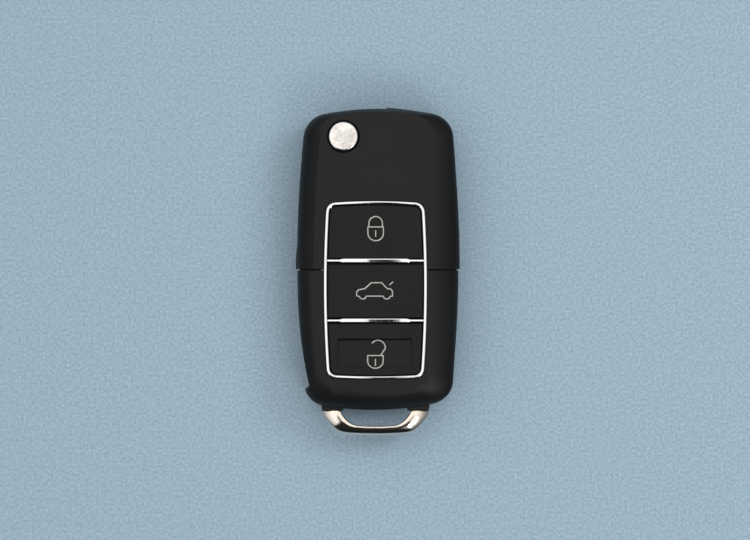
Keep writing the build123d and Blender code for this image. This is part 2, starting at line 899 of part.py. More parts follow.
def seam_lips(front):
    """X and Z ranges of the lips that close the joint beside the panel and the blade slot."""
    left_x = seam_lip_inset - left_width
    right_x = right_width - seam_lip_inset
    if front:
        high = thickness - seam_lip_skin
        panel_left = panel_x - panel_middle_half - slot_wall
        panel_right = panel_x + panel_middle_half + slot_wall
        return [
            ((left_x, panel_left), (slot_high + slot_wall / 2, high)),
            ((panel_right, right_x), (parting_height, high)),
        ]
    return [
        ((left_x, slot_right), (seam_lip_skin, slot_low - slot_wall / 2)),
        ((tongue_right_x + slot_wall, right_x), (seam_lip_skin, parting_height)),
    ]


def add_seam_lips(front):
    """Lips on a remote cover that reach across the joint into the head."""
    for x_range, z_range in seam_lips(front):
        block(x_range, (-wall, seam_lip_reach), z_range)


def cut_seam_recesses(front):
    """Recesses in a head cover for the remote's lips."""
    gap = seam_lip_gap
    for (left, right), (low, high) in seam_lips(front):
        block(
            (left - gap, right + gap), (-overrun, seam_lip_reach + gap), (low - gap, high + gap),
            Mode.SUBTRACT,
        )


def remote_front_cover():
    with BuildPart() as cover:
        add_front_shell(remote_outline, remote_face_outline)
        trim_at_joint(-1)
        add_loop_bosses(parting_height, parting_height + boss_thickness / 2)
        add_seam_lips(True)
        raise_panel(slot_high, membrane_low)
        raise_panel(membrane_low, thickness + overrun, part_gap, mode=Mode.SUBTRACT)
        raise_panel(tray_high, membrane_low, -tray_wall, mode=Mode.SUBTRACT)
        extrude(cavity_face(parting_height), amount=slot_high - parting_height, mode=Mode.SUBTRACT)
        rebate = cavity_face(parting_height, lip_thickness + lip_gap)
        extrude(rebate, amount=lip_height + lip_gap, mode=Mode.SUBTRACT)
        cut_peg_hole(loop_x, remote_peg_y)
        window_x = (
            slot_right + slot_wall, panel_x + panel_bottom_half - window_right_margin
        )
        window_y = (panel_bottom_y + window_end_margin, -wall - window_end_margin)
        block(window_x, window_y, (slot_high, tray_high), Mode.SUBTRACT)
        cut_remote_slot()
        cut_loop_pockets()
    return cover.part


def remote_back_cover():
    with BuildPart() as cover:
        add_back_shell(remote_outline, remote_back_outline)
        trim_at_joint(-1)
        add_loop_bosses(parting_height - boss_thickness / 2, parting_height)
        lip_high = parting_height + lip_height
        extrude(cavity_face(parting_height, lip_thickness), amount=lip_height)
        extrude(cavity_face(wall), amount=lip_high - wall, mode=Mode.SUBTRACT)
        add_seam_lips(False)
        add_peg(loop_x, remote_peg_y)
        ring_inner = cell_radius + ring_gap
        ring_outer = ring_inner + ring_wall
        with BuildSketch(Plane.XY.offset(wall)) as ring:
            with Locations((cell_x, cell_y)):
                Circle(ring_outer)
                Circle(ring_inner, mode=Mode.SUBTRACT)
                for angle in (0, 90):
                    Rectangle(
                        2 * (ring_outer + overrun), ring_opening, rotation=angle,
                        mode=Mode.SUBTRACT,
                    )
        extrude(ring.sketch, amount=ring_height)
        block(
            (tongue_left_x - tongue_gap, tongue_right_x + tongue_gap),
            (-wall - overrun, overrun), (tongue_low - tongue_gap, tongue_high + tongue_gap),
            Mode.SUBTRACT,
        )
        cut_remote_slot()
        cut_loop_pockets()
    return cover.part


def button_bezel():
    with BuildPart() as bezel:
        raise_panel(membrane_high, bezel_high)
        raise_panel(membrane_high, bezel_high, -bezel_width, mode=Mode.SUBTRACT)
        rebate_high = membrane_high + rebate_height
        raise_panel(membrane_high, rebate_high, -rebate_width, mode=Mode.SUBTRACT)
        rim = bezel.faces().sort_by(Axis.Z)[-1].outer_wire()
        chamfer(rim.edges(), bezel_edge)
        for bar_y in crossbar_ys:
            with BuildSketch(Plane.XY.offset(membrane_high)) as bar:
                with Locations((panel_x, bar_y)):
                    reach = 2 * (panel_middle_half - bezel_width / 2)
                    Rectangle(reach, crossbar_end_width)
                with BuildLine():
                    left_x = panel_x - crossbar_left_reach
                    right_x = panel_x + crossbar_right_reach
                    half = crossbar_width / 2
                    end_half = crossbar_end_width / 2
                    Polyline(
                        (left_x, bar_y + end_half), (left_x + crossbar_taper, bar_y + half),
                        (right_x - crossbar_taper, bar_y + half), (right_x, bar_y + end_half),
                        (right_x, bar_y - end_half), (right_x - crossbar_taper, bar_y - half),
                        (left_x + crossbar_taper, bar_y - half), (left_x, bar_y - end_half),
                        close=True,
                    )
                make_face()
            extrude(bar.sketch, amount=bezel_high - bezel_edge - membrane_high)
    return bezel.part


def button_membrane():
    with BuildPart() as membrane:
        raise_panel(membrane_low, membrane_high)
    return membrane.part


def key_span(index):
    """Lowest and highest Y of one key cap, between the frame and the crossbars."""
    beside_bar = crossbar_width / 2 + cap_gap
    edges = [panel_top_y + panel_top_bow, *crossbar_ys, panel_bottom_y - panel_bottom_bow]
    high = edges[index] - beside_bar if index else edges[index]
    low = edges[index + 1] + beside_bar if index + 2 < len(edges) else edges[index + 1]
    return low, high


def key_cap(index):
    span = key_span(index)
    with BuildPart() as cap:
        bottom = membrane_high + membrane_gap
        raise_panel(bottom, thickness, -bezel_width - cap_gap, span)
        chamfer(cap.faces().sort_by(Axis.Z)[-1].edges(), cap_edge)
        flange_high = membrane_high + rebate_height - cap_gap
        raise_panel(bottom, flange_high, -rebate_width - cap_gap, span)
        if index == len(key_names) - 1:
            cut_thumb_hollow()
    return cap.part


def cut_thumb_hollow():
    """Hollow in the last key, deeper at its upper edge, found by the thumb."""
    left_x = panel_x - thumb_left_reach
    right_x = panel_x + thumb_right_reach
    with BuildSketch(Plane.YZ.offset(left_x)) as profile:
        with BuildLine():
            Polyline(
                (thumb_top_y, thickness + overrun), (thumb_top_y, thickness - thumb_top_depth),
                (thumb_bottom_y, thickness - thumb_bottom_depth),
                (thumb_bottom_y, thickness + overrun), close=True,
            )
        make_face()
    extrude(profile.sketch, amount=right_x - left_x, mode=Mode.SUBTRACT)


def circuit_board():
    with BuildPart() as board:
        raise_panel(tray_high, board_high, -tray_wall - board_gap)
    return board.part


def switch_housings():
    with BuildPart() as switches:
        for key_y in key_ys:
            with BuildSketch(Plane.XY.offset(board_high)) as body:
                with Locations((panel_x, key_y)):
                    Rectangle(switch_size, switch_size)
                    hole = plunger_width + 2 * fit_gap
                    Rectangle(hole, hole, mode=Mode.SUBTRACT)
            extrude(body.sketch, amount=switch_height)
    return switches.part


def switch_plunger(index):
    with BuildPart() as plunger:
        with Locations((panel_x, key_ys[index], switch_high - plunger_depth)):
            Box(
                plunger_width, plunger_width, plunger_depth + plunger_proud,
                align=(Align.CENTER, Align.CENTER, Align.MIN),
            )
    return plunger.part


def board_chip(x, y, width, length):
    """Flat chip standing on the board."""
    with BuildPart() as chip:
        with Locations((x, y, board_high)):
            Box(width, length, chip_height, align=(Align.CENTER, Align.CENTER, Align.MIN))
        chamfer(chip.faces().sort_by(Axis.Z)[-1].edges(), chip_height / 6)
    return chip.part


def quartz_crystal():
    with BuildPart() as crystal:
        with BuildSketch(Plane.XY.offset(board_high)) as plan:
            with Locations((crystal_x, (key_ys[1] + key_ys[2]) / 2)):
                SlotOverall(crystal_length, crystal_width, rotation=90)
        extrude(plan.sketch, amount=chip_height)
    return crystal.part


def battery_contact_positive():
    """Strip that stands beside the cell's rim and turns over onto the board's underside."""
    near_x = cell_x - cell_radius - part_gap
    with BuildPart() as contact:
        with BuildSketch(Plane.XZ.offset(-cell_y)) as profile:
            with BuildLine():
                Polyline(
                    (near_x, cell_low), (near_x, tray_high - leaf_thickness),
                    (near_x + leaf_pad, tray_high - leaf_thickness),
                    (near_x + leaf_pad, tray_high), (near_x - leaf_thickness, tray_high),
                    (near_x - leaf_thickness, cell_low), close=True,
                )
            make_face()
        extrude(profile.sketch, amount=leaf_width / 2, both=True)
    return contact.part


def battery_contact_negative():
    """Sprung leaf from the board's underside to the middle of the cell's cap."""
    root_y = cell_y - leaf_root_offset
    half = leaf_thickness / 2
    touch = cell_high + part_gap / 2 + half
    with BuildPart() as contact:
        with BuildSketch(Plane.YZ.offset(cell_x)) as profile:
            with BuildLine():
                Polyline(
                    (root_y + leaf_pad, tray_high - half), (root_y, tray_high - half),
                    (root_y, leaf_knee_height), (cell_y, touch),
                    (cell_y + leaf_pad, touch + leaf_tip_lift),
                )
            trace(line_width=leaf_thickness)
        extrude(profile.sketch, amount=leaf_width / 2, both=True)
    return contact.part


def coin_cell():
    """Flat can with its crimped rim, and the smaller cap of the other pole on top."""
    with BuildPart() as cell:
        with Locations((cell_x, cell_y, cell_low)):
            Cylinder(
                cell_radius, cell_can_height, align=(Align.CENTER, Align.CENTER, Align.MIN)
            )
        can_high = cell_low + cell_can_height
        post(cell_x, cell_y, cell_cap_radius, can_high, cell_high)
    return cell.part


def half_oval(half_width, start_y, depth, corner, high_y):
    """Lower half of an oval from three tangent arcs, with straight sides up to a height."""
    reach = half_width - corner
    crown = (reach**2 + depth**2 - corner**2) / (2 * (depth - corner))
    crown_centre = Vector(loop_x, start_y - depth + crown)
    ends = {}
    for side in (-1, 1):
        corner_centre = Vector(loop_x + side * reach, start_y)
        join = crown_centre + (corner_centre - crown_centre).normalized() * crown
        outer = Vector(loop_x + side * half_width, start_y)
        ends[side] = outer, arc_middle(corner_centre, outer, join, corner), join
    with BuildSketch() as oval:
        with BuildLine():
            ThreePointArc(*ends[-1])
            ThreePointArc(ends[-1][2], (loop_x, start_y - depth), ends[1][2])
            ThreePointArc(*reversed(ends[1]))
            Polyline(
                ends[1][0], (loop_x + half_width, high_y), (loop_x - half_width, high_y),
                ends[-1][0],
            )
        make_face()
    return oval.sketch


def key_ring_loop():
    """Rigid loop, broad at its legs and slim across its middle, with feet inside the end."""
    with BuildPart() as loop:
        inner_depth = loop_inner_y - loop_end_y - loop_band
        with BuildSketch(Plane.XY.offset(leg_low)) as plan:
            outer_depth = loop_start_y - loop_end_y
            shoulder_y = boss_end_y - fit_gap
            add(half_oval(
                loop_outer_half, loop_start_y, outer_depth, loop_outer_corner, shoulder_y
            ))
            add(
                half_oval(
                    loop_inner_half, loop_inner_y, inner_depth, loop_inner_corner,
                    shoulder_y + overrun,
                ),
                mode=Mode.SUBTRACT,
            )
        extrude(plan.sketch, amount=loop_thickness)
        rims = loop.faces().filter_by(Axis.Z).edges()
        edge = (loop_outer_half - loop_inner_half) * loop_edge_share
        chamfer(rims.group_by(Axis.Y)[:-1], edge)
        for leg in leg_sides():
            heights = (leg_low, leg_high)
            block(tenon_span(*leg, 0), (shoulder_y - leg_step, leg_end_y), heights)
            foot = tenon_span(*leg, foot_reach)
            block(foot, (leg_end_y, leg_end_y + foot_length), heights)
    return loop.part


pieces = {
    "head_front_cover": head_front_cover,
    "head_back_cover": head_back_cover,
    "hinge_cap": hinge_cap,
    "head_screw": head_screw,
    "transponder_chip": transponder_chip,
    "blade_hub": blade_hub,
    "key_blade": key_blade,
    "blade_roll_pin": blade_roll_pin,
    "flip_spring": flip_spring,
    "release_button": release_button,
    "remote_front_cover": remote_front_cover,
    "remote_back_cover": remote_back_cover,
    "button_bezel": button_bezel,
    "button_membrane": button_membrane,
    "circuit_board": circuit_board,
    "switch_housings": switch_housings,
    "quartz_crystal": quartz_crystal,
    "battery_contact_positive": battery_contact_positive,
    "battery_contact_negative": battery_contact_negative,
    "coin_cell": coin_cell,
    "key_ring_loop": key_ring_loop,
}


def save(name, part):
    part.label = name
    export_step(part, f"parts/{name}.step")


os.makedirs("parts", exist_ok=True)
for piece_name, make_piece in pieces.items():
    save(piece_name, make_piece())
for key_index, key_name in enumerate(key_names):
    save(f"{key_name}_button", key_cap(key_index))
    save(f"{key_name}_switch_plunger", switch_plunger(key_index))
controller_y = (key_ys[0] + key_ys[1]) / 2
radio_y = (key_ys[1] + key_ys[2]) / 2
save("microcontroller", board_chip(controller_x, controller_y, controller_size, controller_size))
save("radio_chip", board_chip(radio_x, radio_y, radio_width, radio_length))
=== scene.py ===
import json
import math

import bmesh
import bpy
import numpy as np
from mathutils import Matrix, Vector

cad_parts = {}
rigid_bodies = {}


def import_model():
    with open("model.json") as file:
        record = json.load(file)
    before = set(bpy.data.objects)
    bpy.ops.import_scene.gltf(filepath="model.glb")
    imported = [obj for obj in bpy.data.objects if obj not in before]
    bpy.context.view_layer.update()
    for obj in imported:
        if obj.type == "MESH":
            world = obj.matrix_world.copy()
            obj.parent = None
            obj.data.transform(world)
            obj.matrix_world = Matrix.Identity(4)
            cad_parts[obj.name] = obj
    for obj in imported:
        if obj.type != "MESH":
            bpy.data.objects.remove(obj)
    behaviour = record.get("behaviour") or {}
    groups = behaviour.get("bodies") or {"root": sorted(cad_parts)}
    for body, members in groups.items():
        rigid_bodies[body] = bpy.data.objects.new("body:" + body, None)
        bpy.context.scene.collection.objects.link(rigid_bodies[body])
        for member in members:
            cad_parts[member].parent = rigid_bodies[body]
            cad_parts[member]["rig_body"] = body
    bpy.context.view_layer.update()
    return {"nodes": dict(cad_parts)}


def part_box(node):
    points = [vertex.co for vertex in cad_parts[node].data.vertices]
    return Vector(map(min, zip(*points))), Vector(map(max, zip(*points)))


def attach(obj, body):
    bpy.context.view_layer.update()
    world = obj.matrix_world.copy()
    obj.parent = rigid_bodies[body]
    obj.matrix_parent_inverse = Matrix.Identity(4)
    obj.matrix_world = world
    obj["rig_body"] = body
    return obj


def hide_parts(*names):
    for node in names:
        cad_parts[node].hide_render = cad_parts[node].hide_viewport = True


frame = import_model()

bl_info = {
    "name": "Flip Key Fob",
    "version": (1, 0, 0),
    "blender": (4, 5, 0),
    "location": "View3D > Sidebar > Key Fob",
    "description": "Finishes a folding car key with a three-button remote around its solid model",
    "category": "Add Mesh",
}

MM = 0.001


# Heights that the solid model already has, in millimetres

def top_of(node):
    """Highest point of a node of the solid model, in millimetres."""
    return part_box(node)[1].z / MM


def bottom_of(node):
    """Lowest point of a node of the solid model, in millimetres."""
    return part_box(node)[0].z / MM


# Colours and nodes

def linear(code):
    """Linear RGBA of an sRGB hex code such as 2B2B2D."""
    values = [int(code[i:i + 2], 16) / 255 for i in (0, 2, 4)]
    out = [v / 12.92 if v <= 0.04045 else ((v + 0.055) / 1.055) ** 2.4 for v in values]
    return (*out, 1.0)


def add_node(tree, kind, settings=None, inputs=None):
    """Adds one node, sets its settings, and sets or links its inputs.

    An input's value is a plain value, or a pair of another node and its output's name.
    """
    node = tree.nodes.new(kind)
    for key, value in (settings or {}).items():
        setattr(node, key, value)
    for key, value in (inputs or {}).items():
        if isinstance(value, tuple) and isinstance(value[0], bpy.types.Node):
            tree.links.new(value[0].outputs[value[1]], node.inputs[key])
        else:
            node.inputs[key].default_value = value
    return node


def new_material(name, **shader):
    """Principled material with constant values on the shader's own sockets."""
    material = bpy.data.materials.new(name)
    material.use_nodes = True
    tree = material.node_tree
    tree.nodes.clear()
    surface = add_node(tree, "ShaderNodeBsdfPrincipled", inputs=shader)
    add_node(tree, "ShaderNodeOutputMaterial", inputs={"Surface": (surface, "BSDF")})
    return material, tree, surface


def object_space(tree, stretch=(1, 1, 1)):
    """Object coordinates, stretched along an axis for a pattern with a direction."""
    place = add_node(tree, "ShaderNodeTexCoord")
    return add_node(tree, "ShaderNodeMapping", inputs={
        "Vector": (place, "Object"), "Scale": stretch,
    })


def noise(tree, space, size_mm, detail=3.0, roughness=0.55):
    """Noise whose features are about size_mm across."""
    return add_node(tree, "ShaderNodeTexNoise", inputs={
        "Vector": (space, "Vector"), "Scale": 1 / (size_mm * MM),
        "Detail": detail, "Roughness": roughness,
    })


def link_bump(tree, surface, texture, depth_mm, strength=1.0):
    """Bump from a texture, with its depth in millimetres."""
    bump = add_node(tree, "ShaderNodeBump", inputs={
        "Height": (texture, "Fac"), "Strength": strength, "Distance": depth_mm * MM,
    })
    tree.links.new(bump.outputs["Normal"], surface.inputs["Normal"])


def link_range(tree, surface, socket, texture, low, high):
    """Lets a texture move one of the shader's numbers between two values."""
    span = add_node(tree, "ShaderNodeMapRange", inputs={
        "Value": (texture, "Fac"), "From Min": 0.3, "From Max": 0.7,
        "To Min": low, "To Max": high,
    })
    tree.links.new(span.outputs["Result"], surface.inputs[socket])


def link_blend(tree, surface, texture, first, second):
    """Lets a texture move the base colour between two hex codes."""
    ramp = add_node(tree, "ShaderNodeValToRGB", inputs={"Fac": (texture, "Fac")})
    for stop, place, code in zip(ramp.color_ramp.elements, (0.35, 0.65), (first, second)):
        stop.position = place
        stop.color = linear(code)
    tree.links.new(ramp.outputs["Color"], surface.inputs["Base Color"])


# Materials, each from what the real one is

def moulded_abs(name, dark, light, grain_mm, rough, gloss):
    """ABS moulded in a spark-eroded tool."""
    # The eroded steel leaves a fine matt grain: no sharp reflection, broad soft highlights
    material, tree, surface = new_material(name, **{
        "IOR": 1.52, "Specular IOR Level": gloss,
    })
    space = object_space(tree)
    grain = noise(tree, space, grain_mm)
    cloud = noise(tree, space, size_mm=9.0, detail=2.0)
    link_blend(tree, surface, cloud, dark, light)
    link_range(tree, surface, "Roughness", grain, rough - 0.05, rough + 0.05)
    link_bump(tree, surface, grain, depth_mm=0.012)
    return material


def bright_chrome(name, colour, rough, ripple_mm, depth_mm):
    """Bright chrome over nickel, plated on a moulding or a casting."""
    # Mirror bright, with the slight waves of the part beneath and hairline rubbing
    material, tree, surface = new_material(name, **{
        "Base Color": linear(colour), "Metallic": 1.0,
    })
    space = object_space(tree)
    wave = noise(tree, space, ripple_mm, detail=1.0)
    rub = noise(tree, object_space(tree, (1, 0.15, 1)), size_mm=0.25)
    link_range(tree, surface, "Roughness", rub, rough, rough + 0.035)
    link_bump(tree, surface, wave, depth_mm)
    return material


def rubbed_chrome(name, dark, light):
    """Chrome dulled by years of thumbs."""
    # Patches of fine scratches and skin oil, between which the plate is still bright
    material, tree, surface = new_material(name, **{"Metallic": 1.0})
    patch = noise(tree, object_space(tree), size_mm=1.6, roughness=0.6)
    link_blend(tree, surface, patch, dark, light)
    link_range(tree, surface, "Roughness", patch, 0.22, 0.1)
    link_bump(tree, surface, patch, depth_mm=0.02)
    return material


def ground_steel(name, dark, light, rough, stretch=(1, 0.04, 1)):
    """Steel whose surface was ground or drawn in one direction."""
    # Fine lines along the working direction, which spread highlights across it
    material, tree, surface = new_material(name, **{"Metallic": 1.0})
    lines = noise(tree, object_space(tree, stretch), size_mm=0.12, detail=4.0)
    link_blend(tree, surface, lines, dark, light)
    link_range(tree, surface, "Roughness", lines, rough - 0.08, rough + 0.1)
    link_bump(tree, surface, lines, depth_mm=0.004)
    return material


def plated_zinc(name, dark, light):
    """Zinc die casting under a dark nickel plate."""
    # A cast skin: soft metallic sheen with faint flow marks
    material, tree, surface = new_material(name, **{"Metallic": 1.0})
    skin = noise(tree, object_space(tree), size_mm=0.35, detail=4.0)
    flow = noise(tree, object_space(tree, (1, 0.4, 1)), size_mm=3.0)
    link_blend(tree, surface, flow, dark, light)
    link_range(tree, surface, "Roughness", skin, 0.34, 0.5)
    link_bump(tree, surface, skin, depth_mm=0.01)
    return material


def silicone_rubber(name, dark, light):
    """Compression-moulded silicone."""
    # Dull and slightly powdery, darker than the plastic round it
    material, tree, surface = new_material(name, **{
        "IOR": 1.41, "Sheen Weight": 0.15, "Sheen Roughness": 0.4,
    })
    powder = noise(tree, object_space(tree), size_mm=0.4)
    link_blend(tree, surface, powder, dark, light)
    link_range(tree, surface, "Roughness", powder, 0.65, 0.8)
    link_bump(tree, surface, powder, depth_mm=0.008)
    return material


def solder_mask(name, field, copper):
    """Glass-fibre laminate under green solder mask."""
    # Glossy lacquer, with the copper tracks showing as paler, raised lines
    material, tree, surface = new_material(name, **{
        "IOR": 1.5, "Coat Weight": 0.5, "Coat Roughness": 0.12,
    })
    space = object_space(tree, (1 / MM, 1 / MM, 0))
    tracks = add_node(tree, "ShaderNodeTexBrick", {"offset": 0.37, "squash": 1.4}, {
        "Vector": (space, "Vector"), "Scale": 0.9, "Mortar Size": 0.06,
        "Brick Width": 1.3, "Row Height": 0.55,
        "Color1": linear(field), "Color2": linear(field), "Mortar": linear(copper),
    })
    weave = noise(tree, object_space(tree), size_mm=0.3)
    tree.links.new(tracks.outputs["Color"], surface.inputs["Base Color"])
    link_range(tree, surface, "Roughness", weave, 0.25, 0.4)
    link_bump(tree, surface, tracks, depth_mm=0.03, strength=0.6)
    return material


def moulding_resin(name, dark, light, rough=0.55):
    """Transfer-moulded epoxy or nylon on small parts."""
    # Matt and even, with the filler showing as a fine speckle
    material, tree, surface = new_material(name, **{"IOR": 1.55})
    speck = noise(tree, object_space(tree), size_mm=0.15, detail=4.0)
    link_blend(tree, surface, speck, dark, light)
    link_range(tree, surface, "Roughness", speck, rough - 0.06, rough + 0.08)
    link_bump(tree, surface, speck, depth_mm=0.006)
    return material


def nickel_sheet(name, dark, light, rough=0.28):
    """Pressed sheet steel under bright nickel."""
    # Warmer and softer than chrome, with faint drawing marks and handling scuffs
    material, tree, surface = new_material(name, **{"Metallic": 1.0})
    scuff = noise(tree, object_space(tree, (1, 0.3, 1)), size_mm=0.6, detail=4.0)
    link_blend(tree, surface, scuff, dark, light)
    link_range(tree, surface, "Roughness", scuff, rough - 0.08, rough + 0.12)
    link_bump(tree, surface, scuff, depth_mm=0.005)
    return material


def metallic_ink(name, dark, light):
    """Silver pad-printing ink."""
    # Flat flake in a lacquer: grey white from above, with no mirror image
    material, tree, surface = new_material(name, **{
        "Metallic": 0.35, "IOR": 1.5, "Specular IOR Level": 0.5,
    })
    flake = noise(tree, object_space(tree), size_mm=0.2)
    link_blend(tree, surface, flake, dark, light)
    link_range(tree, surface, "Roughness", flake, 0.36, 0.5)
    return material


def floor_paper(name, dark, light):
    """Matt paper-like tabletop."""
    # Pale blue grey, a little uneven, with no gloss
    material, tree, surface = new_material(name, **{"Specular IOR Level": 0.1})
    blotch = noise(tree, object_space(tree), size_mm=0.6, detail=4.0, roughness=0.7)
    link_blend(tree, surface, blotch, dark, light)
    link_range(tree, surface, "Roughness", blotch, 0.8, 0.9)
    return material


# Meshes worked out with numpy

def facing_out(vertices, faces):
    """Turns every face round if the closed mesh's signed volume is negative.

    The volume is summed over fans of triangles: first corner times the cross product of the
    other two.
    """
    volume = 0.0
    for size in {len(face) for face in faces}:
        rows = np.array([face for face in faces if len(face) == size])
        first = vertices[rows[:, 0]]
        for k in range(1, size - 1):
            cross = np.cross(vertices[rows[:, k]], vertices[rows[:, k + 1]])
            volume += np.einsum("ij,ij->", first, cross)
    return faces if volume > 0 else [face[::-1] for face in faces]


def make_piece(name, parts, material, smooth_angle=40):
    """One mesh object from closed grids, each a rows x columns x 3 array in millimetres.

    A grid is closed round its columns. Its first and last rows are each closed by a face, or
    are joined where its entry says that it is a ring.
    """
    vertices, faces = [], []
    base = 0
    for points, ring in parts:
        rows, cols = points.shape[:2]
        index = np.arange(rows * cols).reshape(rows, cols)
        near = index if ring else index[:-1]
        far = np.roll(index, -1, axis=0) if ring else index[1:]
        quads = np.stack([near, np.roll(near, -1, 1), np.roll(far, -1, 1), far], -1)
        part = quads.reshape(-1, 4).tolist()
        if not ring:
            part += [index[0][::-1].tolist(), index[-1].tolist()]
        flat = points.reshape(-1, 3) * MM
        part = facing_out(flat, part)
        faces += [[i + base for i in face] for face in part]
        vertices.append(flat)
        base += rows * cols
    mesh = bpy.data.meshes.new(name)
    mesh.from_pydata(np.concatenate(vertices).tolist(), [], faces)
    mesh.shade_smooth()
    mesh.set_sharp_from_angle(angle=math.radians(smooth_angle))
    mesh.materials.append(material)
    piece = bpy.data.objects.new(name, mesh)
    bpy.context.scene.collection.objects.link(piece)
    return piece


def spaced(points, count):
    """The same line with evenly spaced points: linear interpolation on its length."""
    steps = np.linalg.norm(np.diff(points, axis=0), axis=1)
    along = np.concatenate([[0], np.cumsum(steps)])
    want = np.linspace(0, along[-1], count)
    return np.stack([np.interp(want, along, points[:, k]) for k in range(points.shape[1])], 1)


def sideways(line, closed=False):
    """Unit normals to the left of a flat line, from central differences."""
    if closed:
        way = np.roll(line, -1, 0) - np.roll(line, 1, 0)
    else:
        way = np.gradient(line, axis=0)
    way = way / np.linalg.norm(way, axis=1, keepdims=True)
    return np.stack([-way[:, 1], way[:, 0]], 1)


def arc(centre, radius, start, end, count):
    """Circular arc: centre plus radius times (cos, sin) of an angle in degrees."""
    angle = np.radians(np.linspace(start, end, count))
    return np.stack([centre[0] + radius * np.cos(angle), centre[1] + radius * np.sin(angle)], 1)


def bowed_line(first, middle, last, count):
    """Slightly bowed line through three points: a straight one plus bend times t (1 - t)."""
    t = np.linspace(0, 1, count)[:, None]
    first, middle, last = (np.array(p, float) for p in (first, middle, last))
    share = np.linalg.norm(middle - first) / (
        np.linalg.norm(middle - first) + np.linalg.norm(last - middle))
    bend = (middle - first * (1 - share) - last * share) / (share * (1 - share))
    return first * (1 - t) + last * t + bend * t * (1 - t)


def rounded_corner(before, corner, after, radius, count):
    """Turn at a corner, and how far from the corner it begins.

    The turn is a circular arc, as a rational quadratic curve whose middle weight is the sine
    of half the corner's angle.
    """
    to_before = (before - corner) / np.linalg.norm(before - corner)
    to_after = (after - corner) / np.linalg.norm(after - corner)
    half = math.acos(float(np.clip(to_before @ to_after, -1, 1))) / 2
    reach = radius / math.tan(half)
    start, end = corner + to_before * reach, corner + to_after * reach
    t = np.linspace(0, 1, count)[:, None]
    weight = math.sin(half)
    low, mid, high = (1 - t) ** 2, 2 * weight * t * (1 - t), t ** 2
    return (start * low + corner * mid + end * high) / (low + mid + high), reach


def cut_corners(line, rounds=3):
    """A smooth line from a polygon: each round cuts every corner at a quarter of its sides."""
    for _ in range(rounds):
        cut = np.empty((2 * len(line), 2))
        cut[0], cut[-1] = line[0], line[-1]
        cut[1:-1:2] = line[:-1] * 0.75 + line[1:] * 0.25
        cut[2:-1:2] = line[:-1] * 0.25 + line[1:] * 0.75
        line = cut
    return line


def panel_outline(size, count=360):
    """Outline of the button panel: four bowed sides joined by rounded corners, clockwise."""
    side_points, corner_points = 80, 24
    # A corner takes its directions this many points along its sides, and clears their ends
    near, clearance = 12, 1.02
    x, top, bottom = size.panel_x, size.panel_top, size.panel_bottom
    corners = [np.array(p) for p in (
        (x - size.panel_top_half, top), (x + size.panel_top_half, top),
        (x + size.panel_bottom_half, bottom), (x - size.panel_bottom_half, bottom),
    )]
    bows = [
        (x, top + size.panel_top_bow), (x + size.panel_middle_half, size.panel_middle),
        (x, bottom - size.panel_bottom_bow), (x - size.panel_middle_half, size.panel_middle),
    ]
    sides = [bowed_line(corners[k], bows[k], corners[(k + 1) % 4], side_points)
             for k in range(4)]
    line = []
    for k in range(4):
        side, following = sides[k], sides[(k + 1) % 4]
        bend, reach = rounded_corner(
            side[-near], side[-1], following[near - 1], size.panel_corner, corner_points)
        from_start = np.linalg.norm(side - side[0], axis=1)
        from_end = np.linalg.norm(side - side[-1], axis=1)
        line += [side[np.minimum(from_start, from_end) > reach * clearance], bend]
    line = np.concatenate(line)
    return spaced(np.concatenate([line, line[:1]]), count + 1)[:-1]


def rounded_section(width, low, high, edge, steps=5):
    """Upper part of a bar's section, as offset and height: a flat top between quarter circles."""
    turn = np.linspace(0, math.pi / 2, steps)
    left = np.stack([edge - edge * np.cos(turn), high - edge + edge * np.sin(turn)], 1)
    right = left[::-1] * (-1, 1) + (width, 0)
    return np.concatenate([[(0, low)], left, right, [(width, low)]])


# Copies of solids, with softened edges

def softened_copy(node, material, edge_mm, segments=3, crease_deg=32, smooth_deg=38):
    """A copy of a node of the solid model whose sharp edges are rounded.

    Doubles are merged and flat triangles joined before the Bevel modifier rounds each edge
    that turns by more than crease_deg.
    """
    weld_mm, flat_deg = 0.0005, 0.6
    source = frame["nodes"][node]
    shape = bmesh.new()
    shape.from_mesh(source.data)
    bmesh.ops.remove_doubles(shape, verts=shape.verts, dist=weld_mm * MM)
    bmesh.ops.dissolve_limit(
        shape, angle_limit=math.radians(flat_deg), verts=shape.verts, edges=shape.edges)
    bmesh.ops.recalc_face_normals(shape, faces=shape.faces)
    mesh = bpy.data.meshes.new(node + "_finished")
    shape.to_mesh(mesh)
    shape.free()
    mesh.shade_smooth()
    mesh.set_sharp_from_angle(angle=math.radians(smooth_deg))
    mesh.materials.clear()
    mesh.materials.append(material)
    piece = bpy.data.objects.new(mesh.name, mesh)
    bpy.context.scene.collection.objects.link(piece)
    bevel = piece.modifiers.new("Rounded edges", "BEVEL")
    bevel.width = edge_mm * MM
    bevel.segments = segments
    bevel.limit_method = "ANGLE"
    bevel.angle_limit = math.radians(crease_deg)
    bevel.use_clamp_overlap = True
    bevel.miter_outer = "MITER_ARC"
    even = piece.modifiers.new("Even faces", "WEIGHTED_NORMAL")
    even.mode = "FACE_AREA"
    even.keep_sharp = True
    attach(piece, source["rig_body"])
    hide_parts(node)


def finish_node(node, material):
    """Gives a node of the solid model its material, with its shape left alone."""
    source = frame["nodes"][node]
    if not source.material_slots:
        source.data.materials.append(material)
    for entry in source.material_slots:
        entry.material = material


# Key symbols: lines round a symbol's own middle, in millimetres, each with whether it is closed

